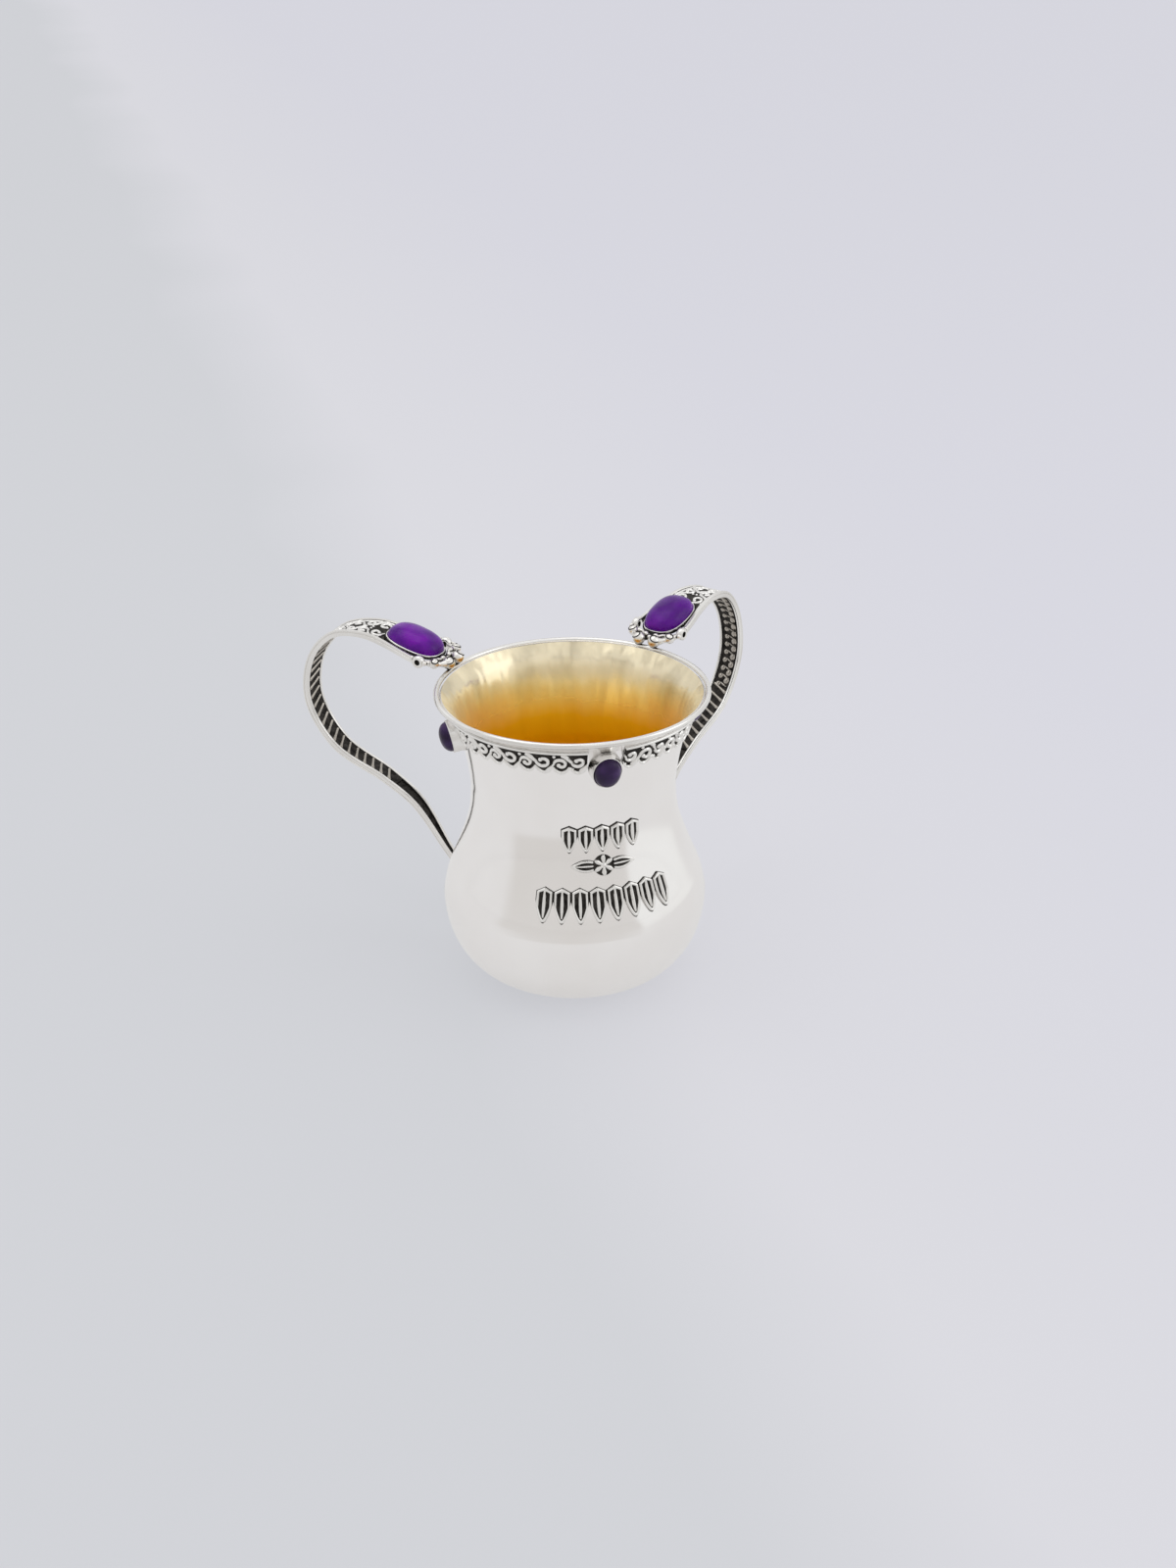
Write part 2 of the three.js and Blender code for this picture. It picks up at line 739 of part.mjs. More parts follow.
addPiece(cup, "cup_body", cupBody(), silver);
addPiece(cup, "rim_wire", rimRing(rimWireRadius), silver);
stoneSides.forEach((name, index) => {
  addNeckStone(name, frontAzimuth + stoneStep * index);
});
bandSides.forEach((name, index) => {
  addPiece(cup, `${name}_scroll_band`, bandStrip(frontAzimuth + stoneStep * (index + 1 / 2)), silver);
});
const upperRow = leafRow(upperOrnamentWidth, upperOrnamentDepth, upperOrnamentTop, upperLeaves);
const lowerRow = leafRow(lowerOrnamentWidth, lowerOrnamentDepth, lowerOrnamentTop, lowerLeaves);
addPiece(cup, "upper_leaf_ornament", upperRow, silver);
addPiece(cup, "middle_rosette", rosette(), silver);
addPiece(cup, "lower_leaf_ornament", lowerRow, silver);
addHandle("left", leftHandleAzimuth, -1);
addHandle("right", rightHandleAzimuth, 1);

export default cup;
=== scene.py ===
"""The looks of a two-handled silver washing cup, gilt inside, round its fixed frame. Metres, +Z up."""

from bisect import bisect_left
from math import copysign, cos, hypot, pi, radians, sin, sqrt

import bpy
import numpy as np
from mathutils import Matrix, Quaternion, Vector


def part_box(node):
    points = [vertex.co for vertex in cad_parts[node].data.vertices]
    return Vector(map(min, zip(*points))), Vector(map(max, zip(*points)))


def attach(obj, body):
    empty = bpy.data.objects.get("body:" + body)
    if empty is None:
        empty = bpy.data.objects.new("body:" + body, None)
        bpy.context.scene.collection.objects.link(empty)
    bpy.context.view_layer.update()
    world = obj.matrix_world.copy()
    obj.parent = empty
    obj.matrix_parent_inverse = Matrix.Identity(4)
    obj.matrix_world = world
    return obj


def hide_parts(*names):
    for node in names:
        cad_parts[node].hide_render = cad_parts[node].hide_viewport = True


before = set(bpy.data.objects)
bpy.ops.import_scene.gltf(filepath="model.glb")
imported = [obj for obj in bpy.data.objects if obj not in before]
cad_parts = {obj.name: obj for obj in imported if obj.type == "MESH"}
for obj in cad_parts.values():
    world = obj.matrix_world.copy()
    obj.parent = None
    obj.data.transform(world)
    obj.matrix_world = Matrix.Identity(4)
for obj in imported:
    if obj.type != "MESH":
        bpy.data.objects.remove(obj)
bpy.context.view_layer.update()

MM = 0.001


def mm(*sizes):
    """Several sizes in millimetres."""
    return tuple(size * MM for size in sizes)


# Main sizes, taken from the frame
rim_low, rim_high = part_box("rim_wire")
CUP_HEIGHT = rim_high[2]
RIM_RADIUS = rim_high[0]
WIRE_RADIUS = (rim_high[2] - rim_low[2]) / 2
BELLY_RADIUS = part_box("cup_body")[1][0]

# Meshes; edges sharper than these angles, in degrees, stay crisp
SHARP = 40
SHARP_RELIEF = 60
SHARP_RAIL = 32
MERGE_DISTANCE = 0.002 * MM
TURN_SEGMENTS = 160
WIRE_SEGMENTS = 20
OVAL_SEGMENTS = 64
EYE_SEGMENTS = 40
BALL_SEGMENTS = 28
BALL_ROWS = 16

# Bowl; the wall ends under the rim wire, at a bearing in degrees
BASE_RADIUS = 25.8 * MM
BELLY_HEIGHT = 35.1 * MM
NECK_RADIUS = 41.3 * MM
NECK_HEIGHT = 84.6 * MM
WALL = 1.2 * MM
SEAT_GAP = 0.3 * MM
SOLDER_DEPTH = 0.5 * MM
LIP_BEARING = 50
BELLY_ROUNDNESS = 2.1
BASE_RINGS = (0.35, 0.7, 0.95)
FLOOR_RINGS = (0.8, 0.4)

# Shares of the height and of the radius between belly and neck, and between neck and lip
SHOULDER = [(0, 1), (0.17, 0.855), (0.33, 0.6), (0.5, 0.338), (0.67, 0.127), (0.83, 0.023), (1, 0)]
FLARE = [(0, 0), (0.228, 0.091), (0.453, 0.227), (0.681, 0.408), (0.863, 0.635), (1, 1)]

# Relief: steps of its sheets, sides of its strokes, and the spirals of its scrolls
RELIEF_STEP = 0.17 * MM
STRAP_STEP = 0.21 * MM
STROKE_FLATNESS = 2.6
DOT_LENGTH = 0.01 * MM
TAPER_FULLNESS = 0.6
SPIRAL_TURNS = 0.9
SPIRAL_STEPS = 16
SPIRAL_EYE = 0.4

# Handles
AZIMUTHS = {"left": 138, "right": 40}
HANDLE_REACH = 122.6 * MM
HANDLE_TOP = 132.8 * MM
HANDLE_FOOT = 31.8 * MM
RAIL_SPREAD = 10.8 * MM
RAIL_WIDTH = 1.4 * MM
RAIL_THICKNESS = 2.8 * MM
RAIL_TIP_THICKNESS = 1.8 * MM
RAIL_TIP_GAP = 0.4 * MM
RAIL_TAPER = 0.76
RAIL_STEPS = 150
HANDLE_RISE = [(-0.007, 0.361), (0.141, 0.423), (0.37, 0.815), (0.561, 1)]
HANDLE_FALL = [
    (0.786, 0.965), (0.96, 0.837), (1, 0.644), (0.828, 0.459), (0.485, 0.347), (0.274, 0.253),
    (0.074, 0.069), (-0.04, -0.03),
]
SPREAD = [
    (0, 1.02), (0.06, 1.02), (0.1, 0.95), (0.15, 0.82), (0.2, 0.73), (0.28, 0.58), (0.36, 0.46),
    (0.45, 0.43), (0.62, 0.41), (0.73, 0.35), (0.83, 0.27), (0.93, 0.17), (1, 0.12),
]

# Section of a rail in shares of its half width (the far side first) and half thickness
RAIL_SECTION = [
    (-1, -0.7), (-0.8, -0.92), (-0.4, -1), (0.4, -1), (0.8, -0.92), (1, -0.7), (1, -0.2), (1, 0.18),
    (0.62, 0.3), (0.62, 0.4), (1, 0.52), (1, 0.78), (0.8, 0.94), (0.4, 1), (-0.4, 1), (-0.8, 0.92),
    (-1, 0.7),
]

# Eyes, and half of their section as (radius, share of the half thickness, look); the hole's wall and the
# discs that close it are black, painted shade in the hole
EYE_SHARE = 0.047
EYE_OVERLAP = 0.8
EYE_RADIUS = 2.6 * MM
EYE_THICKNESS = 2.8 * MM
EYE_HOLE_RADIUS = 1.1 * MM
EYE_SECTION = [
    (EYE_HOLE_RADIUS, 0.1, 1), (EYE_HOLE_RADIUS, 0.62, 1), (EYE_HOLE_RADIUS * 1.12, 0.88, 0),
    (EYE_HOLE_RADIUS * 1.45, 1, 0), (EYE_RADIUS * 0.8, 0.96, 0), (EYE_RADIUS * 0.93, 0.75, 0),
    (EYE_RADIUS, 0.35, 0),
]

# Scroll panel; the border is (inset, width, height)
PANEL_THICKNESS = 0.6 * MM
PANEL_START = 0.075
PANEL_END = 0.96
PANEL_BORDER = mm(0.4, 1.3, 0.6)
PANEL_BORDER_COLUMNS = 12
PANEL_STROKE = 0.75 * MM
PANEL_STROKE_WIDTH = 1.35 * MM
PANEL_STONE_GAP = 1.2 * MM
SCROLL_END = 0.76
SCROLL_FILL = 0.94
SCROLL_PITCH_SHARE = 0.9
LEAST_SCROLL_PITCH = 1.9 * MM
TWO_ROWS_FROM = 4.2 * MM
STRIP_CLEARANCE = 0.05 * MM

# Ladder strip: rings, then beads up to a share of its length, then slanted rungs
LADDER_START = 0.21
LADDER_END = 0.755
LADDER_GROUND = 0.25 * MM
LADDER_STROKE = 0.6 * MM
RING_PITCH = 4.9 * MM
RING_COUNT = 3
RING_RADIUS = 1.6 * MM
RING_GRAIN_RADIUS = 0.75 * MM
RING_LEAF_WIDTH = 1.4 * MM
RING_LOW_SHARE = 0.8
BEAD_SHARES = {"left": 0.2, "right": 0.62}
BEAD_PITCH = 3.7 * MM
BEAD_RADII = mm(1.45, 1.25)
BEAD_LEAF_WIDTH = 1 * MM
BEAD_LOW_SHARE = 0.7
RUNG_PITCH = 4.2 * MM
RUNG_SLANT = 1.5 * MM
RUNG_WIDTHS = mm(1.2, 1.2, 1.2, 1.4, 1.8)
RUNG_REACH = 0.8

# Stones as (half length, half width, girdle, rise, fullness), and their domes
HANDLE_STONE = (*mm(11.6, 8, 1.2, 4.9), 2.55)
NECK_STONE = (*mm(6, 5, 1, 3.9), 2)
STONE_SHARE = 0.09
STONE_GROWTH = 0.18 * MM
STONE_DROP = 13.8 * MM
STONE_STANDOFF = 3.4 * MM
STONE_TILT = 12
DOME_RINGS = 18
DOME_END = 17.3
DOME_FULLNESS = 0.92

# Collets, and their burnished lip as (distance out, distance below its edge, look)
COLLET_WALL = 0.6 * MM
COLLET_FLOOR = 0.4 * MM
COLLET_FLARE = 0.5 * MM
COLLET_LIP = 1.1 * MM
HANDLE_LIP = 0.6 * MM
NECK_FOOT = STONE_STANDOFF - 0.4 * MM
LIP_SECTION = [
    (COLLET_WALL, 0.55 * MM, 0), (COLLET_WALL - 0.08 * MM, 0.15 * MM, 0), (COLLET_WALL * 0.55, 0, 0),
    (0.08 * MM, 0.1 * MM, 0), (-0.12 * MM, 0.35 * MM, 1),
]

# Band under the rim; its lobed edge and its border are (inset, width, height)
BAND_TOP = CUP_HEIGHT - 4.8 * MM
BAND_DEPTH = 11 * MM
BAND_LOBES = 9
BAND_LOBE_DEPTH = 2.6 * MM
BAND_GROUND = 0.5 * MM
BAND_STONE_GAP = 0.6 * MM
BAND_EDGE = mm(0.45, 1.5, 0.95)
BAND_EDGE_COLUMNS = 4
BAND_BORDER = mm(0.4, 0.9, 0.9)
BAND_STROKE = 1 * MM
BAND_STROKE_WIDTH = 1.7 * MM
BAND_SCROLL_DROP = 0.3 * MM
BAND_SCROLL_SHARE = 0.37
BAND_SCROLL_CHANGE = 0.1
BAND_SCROLL_RHYTHM = 2.6

# Cluster at the rim; a curl's line is a spiral from one polar angle in to its middle
RIM_BEAD_RADIUS = 2.592 * MM
RIM_BEAD_SPACING = 7.2 * MM
RIM_BEAD_RISE = 2.3 * MM
RIM_BEAD_TURN = 0.3
MIDDLE_BEAD_RADIUS = 1.9 * MM
MIDDLE_BEAD_LIFT = 0.4 * MM
SHADOW_BEAD_RADIUS = 1.805 * MM
LOBE_RADIUS = 2.128 * MM
LOBE_SPREAD = 1.5 * MM
LOBE_INSET = 1 * MM
LOBE_TURN = 0.5
ROOT_BALL_RADIUS = 1.3 * MM
GRAIN_RADII = mm(1, 0.9)
LEAF_RADII = mm(2, 1, 1.5, 0.9)
CROOK_RADII = mm(1.3, 0.8, 1, 1.1)
STALK_RADII = mm(1.1, 0.9, 1.1)
CURL_RADII = mm(0.1, 0.24, 0.26, 0.3)
CURL_STEPS = 15
CURL_POLAR = 1.3
CURL_POLAR_STEP = 0.075
CURL_ANGLE_STEP = 0.5

# Rows of leaves on the front, as (width, depth, top, leaves)
FRONT = -90
ROWS = {
    "upper_leaf_ornament": (*mm(32, 11.4, 82.4), 5),
    "lower_leaf_ornament": (*mm(57, 13.5, 58), 8),
}
ORNAMENT_GROUND = 0.4 * MM
ORNAMENT_STROKE = 0.85 * MM
LEAF_STROKE = 1.3 * MM
LEAF_INSET = 0.9 * MM
LEAF_UNDER_INSET = 0.99 * MM
LEAF_POINT = 0.62
LEAF_POINT_POWER = 1.7
LEAF_SHOULDER = 0.125
LEAF_OVER = (-0.74, -0.4, 0, 0.4, 0.74)
LEAF_UNDER = (0.74, 0.6, 0.45, 0.3, 0.15, 0.05, -0.05, -0.15, -0.3, -0.45, -0.6, -0.74)
VEIN_WIDTH = 1.8 * MM
VEIN_HEIGHT = 0.8925 * MM

# Rosette as (width, depth, top), with petals between two leaves
ROSETTE = mm(26, 8, 69.8)
PETALS = 6
PETAL_REACH = 0.42
PETAL_PLACES = (0.35, 0.6, 0.8, 1)
PETAL_WIDTHS = mm(1.3, 1.9, 2.2, 1.7)
ROSETTE_HEART = mm(1.1, 0.9775)
ROSETTE_LEAF_ROOT = 0.33
ROSETTE_LEAF_BASE = 0.165
LEAST_HALF_HEIGHT = 0.1 * MM
ROSETTE_RIM = mm(0.6, 1.15, 0.8075)
ROSETTE_RIM_START = 0.56
ROSETTE_RIM_STEPS = 8
ROSETTE_VEIN_SPAN = (0.55, 0.9)
ROSETTE_VEIN_WIDTHS = mm(1, 1.1, 0.7)
ROSETTE_VEIN_HEIGHT = 0.765 * MM

# Stage: bearings are in radians from the front, and distances in metres
FLOOR_HALF = 12
PAPER_GLOW = 0.72
TABLE_EDGE = (0.24, 0.30)
WALL_COLOUR = (0.775, 0.77, 0.77)
FAR_PAPER = (0.66, 0.66, 0.725)
OPENING = (0.69, 0.675, 0.66)
WINDOW = (0.86, 0.865, 0.86)
OPENING_START = (-1.5, -1.25)
WINDOW_START = (0.62, 0.72)
WINDOW_END = (1.7, 1.9)
SKY_START = (0.25, 0.5)

# Camera: where the photograph was taken from, found from the ellipse of the rim
FOCAL_PIXELS = 2200
PHOTO = (1200, 1600)
RIM_PIXEL = (583.88, 701.52)
DISTANCE = 15.514 * RIM_RADIUS
ELEVATION = 0.401066
BEARING = radians(-15)
ROLL = radians(-0.72)
SENSOR_WIDTH = 36
CLIP_END = 100


# ---- Nodes. Colours are linear, noise scales are per metre, and bump distances are in metres.

COLOUR_A, COLOUR_B, COLOUR_RESULT = 6, 7, 2


def new_material(name, settings):
    """New material, with its node tree and its shader, whose sockets take the settings."""
    material = bpy.data.materials.new(name)
    material.use_nodes = True
    tree = material.node_tree
    shader = tree.nodes["Principled BSDF"]
    for key, value in settings.items():
        shader.inputs[key].default_value = value
    return material, tree, shader


def node(tree, kind, **settings):
    """New node; each setting is the value of an input, or else a property."""
    made = tree.nodes.new(kind)
    for key, value in settings.items():
        if key in made.inputs:
            made.inputs[key].default_value = value
        else:
            setattr(made, key, value)
    return made


def feed(tree, socket, value):
    """Links an output to a socket, or gives it a number or a colour."""
    if isinstance(value, bpy.types.NodeSocket):
        tree.links.new(value, socket)
    else:
        socket.default_value = (*value, 1) if isinstance(value, tuple) else value


def maths(tree, operation, *values):
    """Result of a sum on numbers and outputs."""
    made = node(tree, "ShaderNodeMath", operation=operation)
    for socket, value in zip(made.inputs, values):
        feed(tree, socket, value)
    return made.outputs["Value"]


def mixed(tree, share, first, second, blend="MIX"):
    """Mix of two colours; each is a colour or an output, and so is the share."""
    mix = node(tree, "ShaderNodeMix", data_type="RGBA", blend_type=blend)
    feed(tree, mix.inputs["Factor"], share)
    feed(tree, mix.inputs[COLOUR_A], first)
    feed(tree, mix.inputs[COLOUR_B], second)
    return mix.outputs[COLOUR_RESULT]


def ramp(tree, source, *stops):
    """Colours along a ramp. A stop is (place, colour), where a bare number is a grey."""
    made = tree.nodes.new("ShaderNodeValToRGB")
    tree.links.new(source, made.inputs["Fac"])
    elements = made.color_ramp.elements
    while len(elements) < len(stops):
        elements.new(0.5)
    for element, (place, colour) in zip(elements, stops):
        element.position = place
        element.color = (*colour, 1) if isinstance(colour, tuple) else (colour, colour, colour, 1)
    return made.outputs["Color"]


def spread(tree, value, low, high):
    """Smooth step from zero to one between two values."""
    step = node(tree, "ShaderNodeMapRange", interpolation_type="SMOOTHSTEP")
    step.inputs["From Min"].default_value = low
    step.inputs["From Max"].default_value = high
    tree.links.new(value, step.inputs["Value"])
    return step.outputs["Result"]


def coordinates(tree, source="Object"):
    return tree.nodes.new("ShaderNodeTexCoord").outputs[source]


def axes(tree, source="Object"):
    """X, Y and Z of the coordinates."""
    split = tree.nodes.new("ShaderNodeSeparateXYZ")
    tree.links.new(coordinates(tree, source), split.inputs["Vector"])
    return split.outputs


def noise(tree, scale, detail=3, roughness=0.5, stretch=(1, 1, 1), source="Object"):
    mapping = node(tree, "ShaderNodeMapping", Scale=stretch)
    tree.links.new(coordinates(tree, source), mapping.inputs["Vector"])
    made = node(tree, "ShaderNodeTexNoise", Scale=scale, Detail=detail, Roughness=roughness)
    tree.links.new(mapping.outputs["Vector"], made.inputs["Vector"])
    return made.outputs["Fac"]


def paint(tree, shader, colour, roughness):
    tree.links.new(colour, shader.inputs["Base Color"])
    tree.links.new(roughness, shader.inputs["Roughness"])


def bumps(tree, shader, *layers):
    """Layers of (height output, strength, distance), one on top of the other."""
    normal = None
    for height, strength, distance in layers:
        bump = node(tree, "ShaderNodeBump", Strength=strength, Distance=distance)
        tree.links.new(height, bump.inputs["Height"])
        if normal:
            tree.links.new(normal, bump.inputs["Normal"])
        normal = bump.outputs["Normal"]
    tree.links.new(normal, shader.inputs["Normal"])


# ---- Materials


def polished_metal(name, tones, roughness, wave):
    """Hand-polished metal: slow waves of the hammered wall, fine scratches and a little haze."""
    material, tree, shader = new_material(name, {"Metallic": 1})
    tint = ramp(tree, noise(tree, 38, 4), (0.3, tones[0]), (0.7, tones[1]))
    wear = noise(tree, 160, 5, 0.65, (1, 1, 0.25))
    paint(tree, shader, tint, ramp(tree, wear, (0.3, roughness[0]), (0.75, roughness[1])))
    hammer = noise(tree, 26, 1)
    scratch = noise(tree, 900, 4, 0.7, (1, 1, 0.12))
    bumps(tree, shader, (hammer, wave, 0.6 * MM), (scratch, 0.05, 0.03 * MM))
    return material


def gilding():
    """Gold plating, deep orange at the neck and pale towards the mouth, in soft upright streaks. The change
    with height is partly plating wear and partly painted light: a painted reflection of the bright room
    near the mouth, and deeper orange where light bounces round the bowl.
    """
    material, tree, shader = new_material("gilding", {"Metallic": 0.66, "Specular IOR Level": 0})
    streak = noise(tree, 52, 3, 0.5, (1, 1, 0.05))
    height = maths(tree, "MULTIPLY", axes(tree)["Z"], 1 / CUP_HEIGHT)
    level = maths(tree, "MULTIPLY_ADD", streak, 0.1, height)
    # Partly wear, partly painted light: the tint runs from deep orange low down to pale gold near the
    # mouth.
    tint = ramp(
        tree, level, (0.55, (1.0, 0.68, 0.05)), (0.72, (1.0, 0.61, 0.0)), (0.80, (1.0, 0.64, 0.02)),
        (0.86, (0.98, 0.74, 0.25)), (1.0, (0.93, 0.835, 0.61)),
    )
    tone = ramp(tree, streak, (0.38, 0.74), (0.48, 0.9), (0.58, 1.0))
    streak_share_by_height = ramp(tree, height, (0.78, 0.15), (0.9, 1.0))
    colour = mixed(tree, streak_share_by_height, tint, tone, "MULTIPLY")
    paint(tree, shader, colour, ramp(tree, level, (0.78, 0.42), (0.9, 0.2)))
    hammer = noise(tree, 150, 1, 0.5, (1, 1, 0.1))
    scratch = noise(tree, 700, 4, 0.7, (1, 1, 0.1))
    bumps(tree, shader, (hammer, 0.8, 1.0 * MM), (scratch, 0.08, 0.04 * MM))
    return material


def worked_silver(name, dark_share, reach, bright, chased=False, gloss=(0.14, 0.26)):
    """Cast or chased silver, darkened towards black where ambient occlusion finds it hemmed in: partly
    oxide in its hollows and partly painted shade.

    Chased silver is also black where its silver mask is low, on the low ground of its relief and on sides
    marked dark: partly oxide, partly painted shade."""
    material, tree, shader = new_material(name, {"Metallic": 1})
    occlusion = node(tree, "ShaderNodeAmbientOcclusion", Distance=reach, samples=8)
    stain = noise(tree, 420, 4)
    stain_plus_openness = maths(tree, "MULTIPLY_ADD", stain, 0.25, occlusion.outputs["AO"])
    # Partly oxide, partly painted shade: the colour runs from near black to bright silver as ambient
    # occlusion, with a little stain, opens up.
    colour = ramp(
        tree, stain_plus_openness, (dark_share, (0.03, 0.027, 0.024)), (dark_share + 0.18, (0.36, 0.34, 0.31)),
        (dark_share + 0.4, bright),
    )
    rough = ramp(tree, noise(tree, 300, 4), (0.3, gloss[0]), (0.7, gloss[1]))
    if chased:
        # Low relief and dark sides turn black: partly oxide, partly painted shade.
        oxide_and_shade_tone = ramp(tree, stain, (0.3, (0.010, 0.009, 0.009)), (0.8, (0.09, 0.082, 0.075)))
        polish = node(tree, "ShaderNodeAttribute", attribute_name="polish").outputs["Fac"]
        colour = mixed(tree, ramp(tree, polish, (0.16, 0.0), (0.34, 1.0)), oxide_and_shade_tone, colour)
        rough = mixed(tree, ramp(tree, polish, (0.16, 1.0), (0.34, 0.0)), rough, (0.6, 0.6, 0.6))
    paint(tree, shader, colour, rough)
    bumps(tree, shader, (noise(tree, 1100, 3), 0.25, 0.08 * MM))
    return material


def oxide_and_shade():
    """Black silver for grooves, eye holes, hollows and gaps: partly oxide, partly painted shade."""
    material, tree, shader = new_material("oxide_and_painted_shade", {"Metallic": 0.6})
    stain = noise(tree, 350, 5)
    tint = ramp(
        tree, stain, (0.3, (0.010, 0.009, 0.009)), (0.6, (0.035, 0.031, 0.028)), (0.8, (0.12, 0.11, 0.10)),
    )
    paint(tree, shader, tint, ramp(tree, stain, (0.3, 0.75), (0.8, 0.45)))
    bumps(tree, shader, (noise(tree, 1500, 4), 0.5, 0.1 * MM))
    return material


def polished_stone(name, *tones):
    """A polished cabochon with soft zones of colour and a clear gloss."""
    material, tree, shader = new_material(name, {
        "IOR": 1.544, "Specular IOR Level": 0.2, "Subsurface Weight": 0.15, "Subsurface Scale": 1,
        "Subsurface Radius": mm(2, 1, 3),
    })
    tint = ramp(tree, noise(tree, 95, 1, 0.5, (1, 1, 1.6)), *zip((0.3, 0.5, 0.7), tones))
    paint(tree, shader, tint, ramp(tree, noise(tree, 500, 3), (0.3, 0.16), (0.8, 0.26)))
    bumps(tree, shader, (noise(tree, 240, 4), 0.04, 0.03 * MM))
    return material


PALE = (0.86, 0.85, 0.83)
SILVER = polished_metal("polished_silver", [(0.93, 0.91, 0.895), (0.96, 0.945, 0.935)], (0.10, 0.17), 0.12)
# A darker copy of the polished silver for the rim wire, rails and bezel lips: painted shade.
SHADED_WIRE_SILVER = polished_metal("shaded_wire_silver", [(0.78, 0.765, 0.74), (0.88, 0.87, 0.85)], (0.16, 0.26), 0.1)
GILDING = gilding()
# Chased silver, blackened in its hollows and on its low ground: partly oxide, partly painted shade.
RELIEF = worked_silver("worked_silver", 0.36, 1.2 * MM, PALE, True)
# Cast silver of the rim clusters, blackened by ambient occlusion over a wide reach: painted shade between
# its forms, with some oxide.
CAST = worked_silver("cast_silver", 0.56, 3 * MM, (0.84, 0.82, 0.79), False, (0.24, 0.36))
# Collet silver, blackened by ambient occlusion over a wide reach: painted shade round the neck stones.
COLLET_SILVER = worked_silver("collet_silver", 0.5, 2.5 * MM, PALE)
# A much darker copy of the chased silver for the handles' inner strip: painted shade.
SHADED_RUNG_SILVER = worked_silver("shaded_rung_silver", 0.38, 1.3 * MM, (0.42, 0.39, 0.35), True)
# Black for grooves, eye holes, collet walls and cluster gaps: partly oxide, partly painted shade.
GROUND = oxide_and_shade()
VIOLET = polished_stone("violet_stone", (0.070, 0.0, 0.19), (0.105, 0.0, 0.27), (0.17, 0.001, 0.37))
PLUM = polished_stone("plum_stone", (0.014, 0.005, 0.028), (0.030, 0.012, 0.062), (0.075, 0.034, 0.14))


# ---- Meshes


class Shape:
    """Vertices and faces of one piece, with a material number, its look, for each face."""

    def __init__(self):
        self.points, self.faces, self.looks = [], [], []

    def face(self, corners, look):
        self.faces.append(corners)
        self.looks.append(look)

    def add_rings(self, rings, look=0, ends=True):
        """Joins closed rings of points that follow each other, and closes the two ends.

        The look is one number, or a list with the look of the faces after each ring."""
        start, count = len(self.points), len(rings[0])
        looks = look if isinstance(look, list) else [look] * len(rings)
        self.points += [point for ring in rings for point in ring]
        for k in range(len(rings) - 1):
            for i in range(count):
                a, b = start + k * count + i, start + k * count + (i + 1) % count
                self.face((a, b, b + count, a + count), looks[k])
        if ends:
            top = start + (len(rings) - 1) * count
            self.face(tuple(range(start + count - 1, start - 1, -1)), looks[-1])
            self.face(tuple(range(top, top + count)), looks[-1])


def finish_piece(name, shape, materials, nodes, sharp=SHARP, polish=None):
    """Makes an object of the shape and gives it its place in the frame."""
    mesh = bpy.data.meshes.new(name)
    mesh.from_pydata([tuple(point) for point in shape.points], [], shape.faces)
    if polish:
        mesh.attributes.new("polish", "FLOAT", "POINT").data.foreach_set("value", polish)
    for material in materials:
        mesh.materials.append(material)
    mesh.polygons.foreach_set("material_index", shape.looks)
    mesh.validate()
    obj = bpy.data.objects.new(name, mesh)
    bpy.context.scene.collection.objects.link(obj)
    for other in bpy.context.selected_objects:
        other.select_set(False)
    obj.select_set(True)
    bpy.context.view_layer.objects.active = obj
    bpy.ops.object.mode_set(mode="EDIT")
    bpy.ops.mesh.select_all(action="SELECT")
    bpy.ops.mesh.remove_doubles(threshold=MERGE_DISTANCE)
    bpy.ops.mesh.normals_make_consistent(inside=False)
    bpy.ops.object.mode_set(mode="OBJECT")
    bpy.ops.object.shade_smooth_by_angle(angle=radians(sharp))
    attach(obj, "root")
    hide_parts(*nodes)


def even(low, high, steps):
    """Values at even steps from low to high."""
    return [low + (high - low) * k / steps for k in range(steps + 1)]


def on_circle(index, count):
    """Cosine and sine of the angle of one of the places round a circle."""
    angle = 2 * pi * index / count
    return cos(angle), sin(angle)


def turned(radius, height, azimuth):
    """Point at a radius and height, at an azimuth in radians."""
    return Vector((radius * cos(azimuth), radius * sin(azimuth), height))


def turned_rings(rows):
    """Rings round the cup's axis through (radius, height) rows."""
    azimuths = [2 * pi * i / TURN_SEGMENTS for i in range(TURN_SEGMENTS)]
    return [[turned(*row, azimuth) for azimuth in azimuths] for row in rows]


def placed(x, y, z, origin):
    """Matrix with three directions and a place."""
    matrix = Matrix((x, y, z)).transposed().to_4x4()
    matrix.translation = origin
    return matrix


def stretch_of(places, place):
    """Number of the stretch, between two of the rising places, that holds a place."""
    return min(max(bisect_left(places, place) - 1, 0), len(places) - 2)


def smooth_along(table, share):
    """Value at a share along a table of (share, value) rows, on a smooth curve through them."""
    last = len(table) - 1
    row = stretch_of([place for place, _ in table], share)

    def slope(k):
        before, after = table[max(k - 1, 0)], table[min(k + 1, last)]
        return (after[1] - before[1]) / (after[0] - before[0])

    start, end = table[row], table[row + 1]
    span = end[0] - start[0]
    rise = end[1] - start[1]
    t = (share - start[0]) / span
    curve_in = slope(row) * span - rise
    curve_out = rise - slope(row + 1) * span
    return start[1] + rise * t + t * (1 - t) * ((1 - t) * curve_in + t * curve_out)


